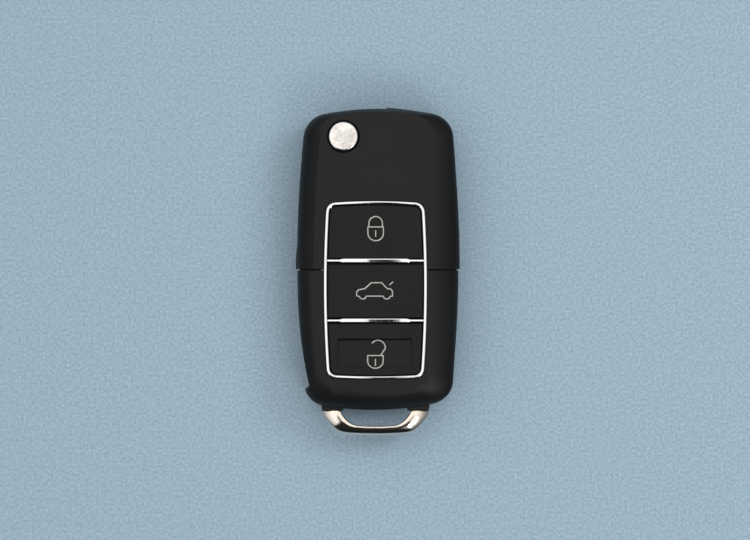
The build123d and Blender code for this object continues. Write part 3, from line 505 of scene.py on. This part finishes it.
def stroke(line, width, surface, rise=0.03, closed=False):
    """A printed line: a low mound along a path, with a keel that sinks into the key.

    At each point the width is w * sqrt(1 - s^2), where s grows from 0 to 1 over the last
    half width of an open line. The mound's height is rise times its profile.
    """
    spacing, blunt = 0.06, 0.985
    length = np.linalg.norm(np.diff(line, axis=0), axis=1).sum()
    count = max(12, int(length / spacing))
    if closed:
        line = spaced(np.concatenate([line, line[:1]]), count + 1)[:-1]
        half = np.full(count, width / 2)
    else:
        line = spaced(line, count)
        along = np.linspace(0, length, count)
        end = np.minimum(along, length - along)
        inside = np.clip(1 - end / (width / 2), 0, blunt)
        half = width / 2 * np.sqrt(1 - inside ** 2)
    normal = sideways(line, closed)
    across = np.array([-1, -0.6, 0, 0.6, 1, 0])
    profile = np.array([0, 0.8, 1, 0.8, 0, -0.6])
    xy = line[:, None] + normal[:, None] * (half[:, None] * across)[..., None]
    z = surface(xy[..., 1]) + profile * rise
    return np.concatenate([xy, z[..., None]], 2), closed


def padlock_body(half, straight, low):
    """Lock body: a flat top, two straight sides and a bowl, as one closed line."""
    t = np.linspace(0, math.pi, 40)
    bowl = np.stack([half * np.cos(t), straight - (straight - low) * np.sin(t)], 1)
    return np.concatenate([[(-half, 0), (half, 0)], bowl])


def closed_padlock():
    """Body, keyhole and a closed shackle: a half circle on two short legs."""
    radius, centre, foot = 1.49, 0.79, 0.02
    shackle = np.concatenate([
        [(radius, foot)], arc((0, centre), radius, 0, 180, 40), [(-radius, foot)]])
    keyhole = np.array([(0, -0.74), (0, -2.2)])
    return [(padlock_body(1.7, -1.35, -3.02), True), (shackle, False), (keyhole, False)]


def open_padlock():
    """Body, keyhole and a shackle swung open to the side: a polygon with its corners cut."""
    shackle = np.array([
        (1.16, 0.02), (1.62, 0.78), (2.16, 1.55), (2.2, 1.95), (1.85, 2.75), (1.25, 3.2),
        (0.5, 3.37), (-0.2, 3.2), (-0.82, 2.66)])
    keyhole = np.array([(0, -0.72), (0, -2.3)])
    return [
        (padlock_body(1.7, -1.2, -2.77), True), (cut_corners(shackle), False), (keyhole, False)]


def raised_boot_car():
    """A saloon's side with its boot lid up: one line round the body, and the lid's tick."""
    turn = np.radians(np.linspace(180, 360, 16))
    wheel = np.stack([0.72 * np.cos(turn), -1.27 + 0.57 * np.sin(turn)], 1)
    axle = np.array([2.62, 0])
    body = np.concatenate([
        [(-3.85, -1.2)], wheel - axle, [(-1.75, -1.22), (1.75, -1.22)], wheel + axle,
        [(3.45, -1.27), (3.9, -1.2), (3.88, -0.1), (3.5, 0.35), (2.75, 0.42), (1.5, 1.72),
         (-0.75, 1.72), (-2.2, 0.42), (-3.5, 0.18), (-3.95, -0.25), (-3.98, -0.95)],
    ])
    lid = np.array([(3.22, 1.22), (4.05, 1.95)])
    return [(body, True), (lid, False)]


# Sizes and colours that a user would change

def mm_value(label, text, default, low=0.0, high=100.0):
    """A length in millimetres."""
    return bpy.props.FloatProperty(
        name=label, description=text, default=default, min=low, max=high, precision=3)


def hex_value(label, text, default):
    """An sRGB hex code."""
    return bpy.props.StringProperty(name=label, description=text, default=default)


class FobSizes(bpy.types.PropertyGroup):
    panel_x: mm_value("Panel middle", "Middle of the button panel, mm", -0.5, -20)
    panel_top: mm_value("Panel top", "Upper end of the panel, mm", 14.65)
    panel_middle: mm_value("Panel widest", "Where the panel is widest, mm", -4.5, -40)
    panel_bottom: mm_value("Panel bottom", "Lower end of the panel, mm", -23.7, -40)
    panel_top_half: mm_value("Top half width", "Half width at the upper end, mm", 10.75)
    panel_middle_half: mm_value("Middle half width", "Half width at the widest place, mm", 11.35)
    panel_bottom_half: mm_value("Bottom half width", "Half width at the lower end, mm", 10.6)
    panel_top_bow: mm_value("Top bow", "Rise of the upper edge, mm", 0.45)
    panel_bottom_bow: mm_value("Bottom bow", "Fall of the lower edge, mm", 0.35)
    panel_corner: mm_value("Panel corner", "Corner radius of the panel, mm", 2.2)
    bezel_width: mm_value("Bezel width", "Width of the chrome frame, mm", 0.75)
    bezel_edge: mm_value("Bezel edge", "Rounding of the chrome frame, mm", 0.24)
    bar_width: mm_value("Crossbar width", "Width of a crossbar's polished middle, mm", 0.93)
    bar_end_width: mm_value("Crossbar end", "Width of a crossbar's thin ends, mm", 0.45)
    line_width: mm_value("Symbol line", "Width of the printed symbol lines, mm", 0.25)
    cover_edge: mm_value("Cover edge", "Rounding of the covers' sharp edges, mm", 0.18)
    key_edge: mm_value("Key edge", "Rounding of the key caps' edges, mm", 0.12)
    loop_x: mm_value("Loop middle", "Middle of the key-ring loop, mm", -0.42, -20)
    loop_outer_half: mm_value("Loop outside", "Half width of the loop outside, mm", 11.9)
    loop_inner_half: mm_value("Loop inside", "Half width of the loop inside, mm", 7.7)
    loop_end: mm_value("Loop end", "Lowest point of the loop, mm", -36.66, -60)
    loop_band: mm_value("Loop band", "Width of the loop at its middle, mm", 2.15)


class FobColours(bpy.types.PropertyGroup):
    shell_dark: hex_value("Shell, dark", "Darker sRGB hex code of the covers", "0C0C0D")
    shell_light: hex_value("Shell, light", "Lighter sRGB hex code of the covers", "101011")
    key_dark: hex_value("Keys, dark", "Darker sRGB hex code of the key caps", "0A0A0B")
    key_light: hex_value("Keys, light", "Lighter sRGB hex code of the key caps", "0E0E0F")
    chrome: hex_value("Chrome", "sRGB hex code of the frame's chrome", "EAEBEE")
    ink: hex_value("Symbols", "sRGB hex code of the printed symbols", "B9B8B5")
    floor: hex_value("Floor", "sRGB hex code of the floor", "AAC0D1")


def sizes():
    """The scene's sizes, in millimetres."""
    return bpy.context.scene.fob_sizes


def colours():
    """The scene's colours, as hex codes."""
    return bpy.context.scene.fob_colours


# One operator for each piece or group of like pieces

class FOB_OT_covers(bpy.types.Operator):
    """Dresses the four moulded covers"""
    bl_idname = "fob.covers"
    bl_label = "Moulded covers"

    def execute(self, context):
        shade = colours()
        plastic = moulded_abs("moulded_abs_covers", shade.shell_dark, shade.shell_light,
                              0.3, 0.48, 0.25)
        for node in ("head_front_cover", "head_back_cover",
                     "remote_front_cover", "remote_back_cover"):
            softened_copy(node, plastic, sizes().cover_edge)
        finish_node("hinge_cap", plastic)
        return {"FINISHED"}


class FOB_OT_keys(bpy.types.Operator):
    """Dresses the three key caps and prints their symbols"""
    bl_idname = "fob.keys"
    bl_label = "Key caps and symbols"

    # The unlock key's hollow: its ends, its depth at each, its sides and its cove's reach
    hollow_top, hollow_bottom = -15.1, -21.3
    hollow_deep, hollow_shallow = 0.5, 0.15
    hollow_left, hollow_right, cove_reach = -8.70, 7.50, 1.0

    def hollow_depth(self, y):
        """Depth of the hollow: a slanting floor, under a quarter ellipse at its upper end."""
        share = (y - self.hollow_bottom) / (self.hollow_top - self.hollow_bottom)
        slant = self.hollow_shallow + (self.hollow_deep - self.hollow_shallow) * share
        near = np.clip((self.hollow_top - y) / self.cove_reach, 0, 1)
        cove = self.hollow_deep * np.sqrt(near * (2 - near))
        return np.where((share > 0) & (share < 1), np.minimum(slant, cove), 0)

    def cove(self, top, plastic):
        """Lets the hollow's upper wall run out in a quarter ellipse, from its top to the floor.

        The ellipse's reach shrinks with the fourth power of the way from the left to the right.
        """
        shrink, sunk = 0.6, 0.02
        bend = np.linspace(0, math.pi / 2, 8)
        x = np.linspace(self.hollow_left, self.hollow_right, 24)[:, None]
        share = (x - self.hollow_left) / (self.hollow_right - self.hollow_left)
        reach = self.cove_reach * (1 - shrink * share ** 4)
        # The last point closes the section, behind the wall and under the floor
        y = self.hollow_top - reach * np.append(1 - np.cos(bend), -0.03)
        z = top - sunk - self.hollow_deep * np.append(np.sin(bend), 1.06)
        grid = np.stack(np.broadcast_arrays(x, y, z), 2)
        piece = make_piece("hollow_cove", [(grid, False)], plastic, 60)
        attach(piece, "unlock_button")

    def execute(self, context):
        shade, size = colours(), sizes()
        plastic = moulded_abs("moulded_abs_keys", shade.key_dark, shade.key_light,
                              0.22, 0.45, 0.22)
        ink = metallic_ink("silver_pad_print", "A9A8A6", shade.ink)
        top = top_of("lock_button")

        def flat(y):
            return np.full_like(y, top)

        def hollow(y):
            return top - self.hollow_depth(y)

        symbols = {
            "lock": (closed_padlock(), (-0.45, 9.39), flat),
            "boot": (raised_boot_car(), (-0.66, -4.55), flat),
            "unlock": (open_padlock(), (-0.5, -18.79), hollow),
        }
        for key, (lines, place, surface) in symbols.items():
            softened_copy(f"{key}_button", plastic, size.key_edge)
            parts = [stroke(line + place, size.line_width, surface, closed=closed)
                     for line, closed in lines]
            symbol = make_piece(f"{key}_symbol", parts, ink, 80)
            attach(symbol, f"{key}_button")
        self.cove(top, plastic)
        return {"FINISHED"}


class FOB_OT_bezel(bpy.types.Operator):
    """Makes the chrome frame round the keys, with its two crossbars"""
    bl_idname = "fob.bezel"
    bl_label = "Chrome frame"

    def ring(self, size, low, high):
        """The frame: a section with a rebate below, carried round the panel's outline."""
        ledge, rebate = low + 0.8, 0.35
        upper = rounded_section(size.bezel_width, low, high, size.bezel_edge)
        upper[-1, 1] = ledge
        section = np.concatenate([upper, [(rebate, ledge), (rebate, low)]])
        line = panel_outline(size)
        # The outline runs clockwise, so its inside is on the right
        inward = -sideways(line, closed=True)
        xy = line[:, None] + inward[:, None] * section[:, 0][None, :, None]
        z = np.broadcast_to(section[:, 1], xy.shape[:2])
        return np.concatenate([xy, z[..., None]], 2), True

    def crossbar(self, size, place, low, frame_top):
        """A crossbar: thin ends, and a fat middle whose top stands higher.

        Width and height follow 3 s^2 - 2 s^3, where s is a ramp up near the left end times a
        ramp down near the right one. The section is a slightly crowned top between quarter
        ellipses, closed by a flat foot.
        """
        half_length = 10.6
        left_end, left_ramp, right_end, right_ramp = 8.0, 1.0, 7.9, 1.2
        end_fall, middle_rise, rounding_share = 0.22, 0.1, 0.3
        along = np.linspace(-half_length, half_length, 160)[:, None]
        ramps = (np.clip((along + left_end) / left_ramp, 0, 1)
                 * np.clip((right_end - along) / right_ramp, 0, 1))
        share = 3 * ramps ** 2 - 2 * ramps ** 3
        half = (size.bar_end_width + (size.bar_width - size.bar_end_width) * share) / 2
        rounding = half * rounding_share
        turn = np.linspace(0, math.pi / 2, 6)
        across = np.concatenate([half - rounding * (1 - np.cos(turn)), half * (0.5, 0.25, 0)], 1)
        fall = np.concatenate([rounding * (1 - np.sin(turn)), half * (-0.012, -0.021, -0.024)], 1)
        across = np.concatenate([across, -across[:, -2::-1], -half, half], 1)
        top = frame_top - end_fall + middle_rise * share
        foot = np.full_like(half, low)
        z = np.concatenate([top - fall, top - fall[:, -2::-1], foot, foot], 1)
        x = np.broadcast_to(along + size.panel_x, z.shape)
        return np.stack([x, place + across, z], 2), False

    def execute(self, context):
        size = sizes()
        chrome = bright_chrome("bright_chrome_frame", colours().chrome,
                               rough=0.015, ripple_mm=3.0, depth_mm=0.002)
        low, high = bottom_of("button_bezel"), top_of("button_bezel")
        bar_places = (2.0, -11.13)
        parts = [self.ring(size, low, high)]
        parts += [self.crossbar(size, place, low, high) for place in bar_places]
        frame_piece = make_piece("chrome_frame", parts, chrome, 50)
        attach(frame_piece, "remote")
        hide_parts("button_bezel")
        return {"FINISHED"}


class FOB_OT_release_button(bpy.types.Operator):
    """Finishes the round push button and crowns its top"""
    bl_idname = "fob.release_button"
    bl_label = "Release button"

    def execute(self, context):
        nylon = moulding_resin("black_nylon_button_body", "0E0E0F", "141415")
        softened_copy("release_button", nylon, 0.12, crease_deg=28)
        # The plated cap: a crown that falls with the square of the radius, a rounded rim and
        # a short skirt
        face, rim, rounding, skirt, crown = 2.9, 3.2, 0.3, 0.8, 0.07
        low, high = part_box("release_button")
        centre = (low + high) / 2 / MM
        turn = np.radians(np.linspace(90, 12, 7))
        inside = np.linspace(face, 0.02, 14)[1:]
        radius = np.concatenate([[rim], face + (rim - face) * np.sin(turn), inside])
        rise = np.concatenate([
            [-skirt], rounding * (np.cos(turn) - 1), crown * (1 - (inside / face) ** 2)])
        angle = np.linspace(0, 2 * math.pi, 97)[:-1]
        x = centre.x + radius[:, None] * np.cos(angle)
        y = centre.y + radius[:, None] * np.sin(angle)
        z = np.broadcast_to(high.z / MM + rise[:, None], x.shape)
        chrome = rubbed_chrome("rubbed_chrome_button", "C6C5C3", "ECEAE8")
        cap = make_piece(
            "button_cap", [(np.stack([x, y, z], 2), False)], chrome, 60)
        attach(cap, "release_button")
        return {"FINISHED"}


class FOB_OT_loop(bpy.types.Operator):
    """Makes the rigid key-ring loop"""
    bl_idname = "fob.loop"
    bl_label = "Key-ring loop"

    def edge(self, half, end, shares, tenon, foot):
        """One edge: a curve between two shoulders, each with a tenon and a foot above it.

        The curve's right half is given in shares of the half width and of the drop from the
        shoulder to the end. Tenon and foot are half widths.
        """
        shoulder, neck, top = -31.15, -27.4, -26.5
        shoulder_step, neck_step = 0.03, 0.02
        curve = np.array(shares) * (half, end - shoulder) + (0, shoulder)
        curve = cut_corners(np.concatenate([curve, curve[-2::-1] * (-1, 1)]))
        leg = np.array([
            (foot, top), (foot, neck + neck_step), (tenon, neck),
            (tenon, shoulder + shoulder_step)])
        line = np.concatenate([leg, spaced(curve, 120), leg[::-1] * (-1, 1)])
        return line + (sizes().loop_x, 0)

    def section(self, width, crown):
        """Upper half of the section at each place, as shares of the width and as falls.

        A tight inner edge, a top whose tilt grows evenly, and an outer rounding that ends
        upright and is widest where crown, a share from 0 to 1, is 1. The top's fall is the sum
        of its steps times the tangent of the tilt between them.
        """
        first_tilt, last_tilt = -4, 30
        inner_radius, outer_radius = 0.3, 0.5 + 1.1 * crown
        inner = np.radians(np.linspace(-90, first_tilt, 6))
        top = np.radians(np.linspace(first_tilt, last_tilt, 14))
        outer = np.radians(np.linspace(last_tilt, 90, 9))[1:]
        start = inner_radius * (1 + math.sin(inner[-1]))
        end = width - outer_radius * (1 - math.sin(top[-1]))
        step = (end - start) / (len(top) - 1)
        fall = np.cumsum(np.tan((top[1:] + top[:-1]) / 2)) * step
        edge = np.full_like(width, inner_radius)
        across = np.concatenate([
            edge * (1 + np.sin(inner)), start + step * np.arange(1, len(top)),
            end + outer_radius * (np.sin(outer) - math.sin(top[-1]))], 1)
        down = np.concatenate([
            edge * (1 - np.cos(inner)), fall,
            fall[:, -1:] + outer_radius * (math.cos(top[-1]) - np.cos(outer))], 1)
        return across / width, down - np.minimum(down.min(1, keepdims=True), 0)

    def execute(self, context):
        size = sizes()
        low, high = bottom_of("key_ring_loop"), top_of("key_ring_loop")
        outer_shares = [
            (1, 0.01), (0.97, 0.19), (0.895, 0.465), (0.81, 0.70), (0.715, 0.87),
            (0.565, 0.952), (0.28, 0.99), (0, 1)]
        inner_shares = [
            (1, 0.03), (0.968, 0.226), (0.852, 0.572), (0.723, 0.813), (0.568, 0.95),
            (0.335, 0.99), (0, 1)]
        outer = self.edge(size.loop_outer_half, size.loop_end, outer_shares,
                          tenon=10.9, foot=11.5)
        inner = self.edge(size.loop_inner_half, size.loop_end + size.loop_band, inner_shares,
                          tenon=8.1, foot=7.5)
        width = np.linalg.norm(outer - inner, axis=1)[:, None]
        # The outer rounding grows from the middle of the legs down to the band
        crown_start, crown_length = -32.6, 2.8
        crown = np.clip((crown_start - outer[:, 1:]) / crown_length, 0, 1)
        across, fall = self.section(width, crown)
        across = np.concatenate([across, across[:, ::-1]], 1)
        z = np.concatenate([high - fall, low + fall[:, ::-1]], 1)
        xy = inner[:, None] + (outer - inner)[:, None] * across[..., None]
        grid = np.concatenate([xy, z[..., None]], 2)
        chrome = bright_chrome("bright_chrome_loop", "EBE3D9",
                               rough=0.08, ripple_mm=2.0, depth_mm=0.012)
        loop = make_piece("chrome_loop", [(grid, False)], chrome, 60)
        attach(loop, "remote")
        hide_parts("key_ring_loop")
        return {"FINISHED"}


class FOB_OT_blade(bpy.types.Operator):
    """Finishes the blade, its hub, pin, spring and screw"""
    bl_idname = "fob.blade"
    bl_label = "Blade set"

    def execute(self, context):
        steel = ground_steel("nickel_plated_steel_blade", "C9C8C6", "DCDBD8", 0.3)
        softened_copy("key_blade", steel, 0.12, segments=2)
        zinc = plated_zinc("plated_zinc_hub", "5E5E60", "6C6C6E")
        softened_copy("blade_hub", zinc, 0.15, segments=2)
        wire = ground_steel("drawn_spring_wire", "8E8E90", "B2B2B3", 0.32, (1, 1, 0.1))
        finish_node("flip_spring", wire)
        finish_node("blade_roll_pin", ground_steel("ground_pin_steel", "8B8B8D", "A9A9AA", 0.3))
        finish_node("head_screw", ground_steel("black_oxide_steel", "2C2B2C", "3A393A", 0.42))
        return {"FINISHED"}


class FOB_OT_electronics(bpy.types.Operator):
    """Finishes the board, its parts, the cell and the rubber seal"""
    bl_idname = "fob.electronics"
    bl_label = "Board and cell"

    def execute(self, context):
        finish_node("circuit_board", solder_mask("green_solder_mask", "1C5B36", "2E7A4C"))
        resin = moulding_resin("black_moulding_resin", "191A1B", "222324")
        for node in ("microcontroller", "radio_chip"):
            finish_node(node, resin)
        finish_node("transponder_chip", moulding_resin("transponder_resin", "141415", "1D1D1E"))
        finish_node("switch_housings", moulding_resin("switch_nylon_black", "232325", "2C2C2E"))
        nylon = moulding_resin("natural_nylon", "CFCBBE", "DAD7CB", 0.45)
        for key in ("lock", "boot", "unlock"):
            finish_node(f"{key}_switch_plunger", nylon)
        finish_node("quartz_crystal", nickel_sheet("nickel_plated_can", "B4B3B1", "C9C8C6"))
        contact = nickel_sheet("nickel_plated_spring_leaf", "B8B19F", "CCC6B6", 0.3)
        for node in ("battery_contact_positive", "battery_contact_negative"):
            finish_node(node, contact)
        can = nickel_sheet("nickel_plated_cell_can", "BAB9B7", "CFCECB", 0.26)
        softened_copy("coin_cell", can, 0.22)
        finish_node("button_membrane", silicone_rubber("black_silicone", "161617", "1C1C1D"))
        return {"FINISHED"}


class FOB_OT_stage(bpy.types.Operator):
    """Lays the floor and sets the lights and the camera"""
    bl_idname = "fob.stage"
    bl_label = "Floor, light and camera"

    def light(self, name, size, place, watts, mirrored):
        """A square softbox that faces the fob. Shiny surfaces mirror it, or it lights matt ones."""
        lamp = bpy.data.lights.new(name, "AREA")
        lamp.shape = "SQUARE"
        lamp.size = size
        lamp.energy = watts
        item = bpy.data.objects.new(name, lamp)
        item.location = place
        item.rotation_euler = (-Vector(place)).to_track_quat("-Z", "Y").to_euler()
        item.visible_glossy = mirrored
        item.visible_diffuse = not mirrored
        bpy.context.scene.collection.objects.link(item)

    def surroundings(self, scene):
        """A pale ceiling that gets darker towards the walls, and most of all at the front."""
        world = bpy.data.worlds.new("studio")
        world.use_nodes = True
        tree = world.node_tree
        tree.nodes.clear()
        place = add_node(tree, "ShaderNodeTexCoord")
        axes = add_node(tree, "ShaderNodeSeparateXYZ", inputs={"Vector": (place, "Generated")})

        def share(axis, start, end, low, high):
            return add_node(tree, "ShaderNodeMapRange", {"interpolation_type": "SMOOTHSTEP"}, {
                "Value": (axes, axis), "From Min": start, "From Max": end,
                "To Min": low, "To Max": high,
            })

        up = share("Z", -0.05, 0.9, 0.2, 1.32)
        right = share("X", 0.1, 0.85, 1.0, 0.3)
        front = share("Y", -0.98, -0.5, 0.08, 1.0)
        left = share("X", -1.0, -0.4, 0.5, 1.0)
        level = up
        for side in (right, left, front):
            product = add_node(tree, "ShaderNodeMath", {"operation": "MULTIPLY"})
            tree.links.new(level.outputs[0], product.inputs[0])
            tree.links.new(side.outputs[0], product.inputs[1])
            level = product
        # Bluer near the horizon, where the light comes from the windows' lower panes
        tint = add_node(tree, "ShaderNodeValToRGB", inputs={"Fac": (axes, "Z")})
        tint.color_ramp.elements[0].color = linear("BCD8F0")
        tint.color_ramp.elements[1].color = linear("FEFBF5")
        tint.color_ramp.elements[1].position = 0.75
        sky = add_node(tree, "ShaderNodeBackground", inputs={
            "Color": (tint, "Color"), "Strength": (level, "Value"),
        })
        add_node(tree, "ShaderNodeOutputWorld", inputs={"Surface": (sky, "Background")})
        scene.world = world

    def dark_card(self, name, *edges):
        """A black card over the table, which only shiny surfaces see.

        Each of its two edges is given as its left end, right end, y and height.
        """
        (a, b), (d, c) = [((left, y, z), (right, y, z)) for left, right, y, z in edges]
        mesh = bpy.data.meshes.new(name)
        mesh.from_pydata([a, b, c, d], [], [(0, 1, 2, 3)])
        mesh.materials.append(new_material("black_flocked_card", **{
            "Base Color": linear("050505"), "Roughness": 0.9})[0])
        card = bpy.data.objects.new(name, mesh)
        bpy.context.scene.collection.objects.link(card)
        card.visible_camera = False
        card.visible_diffuse = False
        card.visible_shadow = False

    def tabletop(self, scene):
        """A large flat square under the fob."""
        half = 1.5
        mesh = bpy.data.meshes.new("floor")
        mesh.from_pydata(
            [(-half, -half, 0), (half, -half, 0), (half, half, 0), (-half, half, 0)], [],
            [(0, 1, 2, 3)])
        mesh.materials.append(floor_paper("pale_tabletop", "8CA4B6", colours().floor))
        floor = bpy.data.objects.new("floor", mesh)
        scene.collection.objects.link(floor)

    def camera(self, scene):
        """Looks straight down. The picture is 750 pixels of 0.22 mm wide at the upper edges."""
        distance, plane, field = 0.7, 0.012, 0.165
        middle_x, middle_y = -0.000594, -0.000044
        camera_data = bpy.data.cameras.new("camera")
        camera_data.sensor_width = 36
        camera_data.lens = 36 * distance / field
        camera_data.clip_start = 0.01
        camera = bpy.data.objects.new("camera", camera_data)
        camera.location = (middle_x, middle_y, plane + distance)
        scene.collection.objects.link(camera)
        scene.camera = camera

    def execute(self, context):
        scene = bpy.context.scene
        self.tabletop(scene)
        self.surroundings(scene)
        # Two boxes draw the glints, and two others the shadow on the table
        self.light("window side box", 0.5, (-0.6, 0.6, 0.7), 0.7, mirrored=True)
        self.light("lamp side box", 0.25, (0.34, -0.48, 0.75), 2.4, mirrored=True)
        self.light("front fill box", 0.25, (0.34, -0.48, 0.75), 1.0, mirrored=False)
        self.light("back fill box", 0.3, (0.55, 0.3, 0.65), 1.7, mirrored=False)
        # The bright metal also mirrors the camera's arm and the dark front of the room
        self.dark_card("camera_arm", (-0.0035, 0.01, -0.8, 0.72), (-0.0035, 0.01, 0.08, 0.72))
        self.dark_card("front_card", (-0.12, 0.12, -0.125, 0.75), (-0.6, 0.36, -0.69, 0.25))
        self.camera(scene)
        scene.view_settings.view_transform = "Standard"
        return {"FINISHED"}


class FOB_PT_panel(bpy.types.Panel):
    """Lists the fob's operators, sizes and colours"""
    bl_idname = "FOB_PT_panel"
    bl_label = "Key Fob"
    bl_space_type = "VIEW_3D"
    bl_region_type = "UI"
    bl_category = "Key Fob"

    def draw(self, context):
        for operator in OPERATORS:
            self.layout.operator(operator.bl_idname)
        for group in (sizes(), colours()):
            box = self.layout.box()
            for key in group.__annotations__:
                box.prop(group, key)


OPERATORS = (
    FOB_OT_covers, FOB_OT_keys, FOB_OT_bezel, FOB_OT_release_button, FOB_OT_loop,
    FOB_OT_blade, FOB_OT_electronics, FOB_OT_stage,
)
CLASSES = (FobSizes, FobColours, *OPERATORS, FOB_PT_panel)


def register():
    for item in CLASSES:
        bpy.utils.register_class(item)
    bpy.types.Scene.fob_sizes = bpy.props.PointerProperty(type=FobSizes)
    bpy.types.Scene.fob_colours = bpy.props.PointerProperty(type=FobColours)


def unregister():
    del bpy.types.Scene.fob_colours
    del bpy.types.Scene.fob_sizes
    for item in reversed(CLASSES):
        bpy.utils.unregister_class(item)


def main():
    register()
    bpy.ops.fob.covers()
    bpy.ops.fob.keys()
    bpy.ops.fob.bezel()
    bpy.ops.fob.release_button()
    bpy.ops.fob.loop()
    bpy.ops.fob.blade()
    bpy.ops.fob.electronics()
    bpy.ops.fob.stage()


if __name__ == "__main__":
    main()
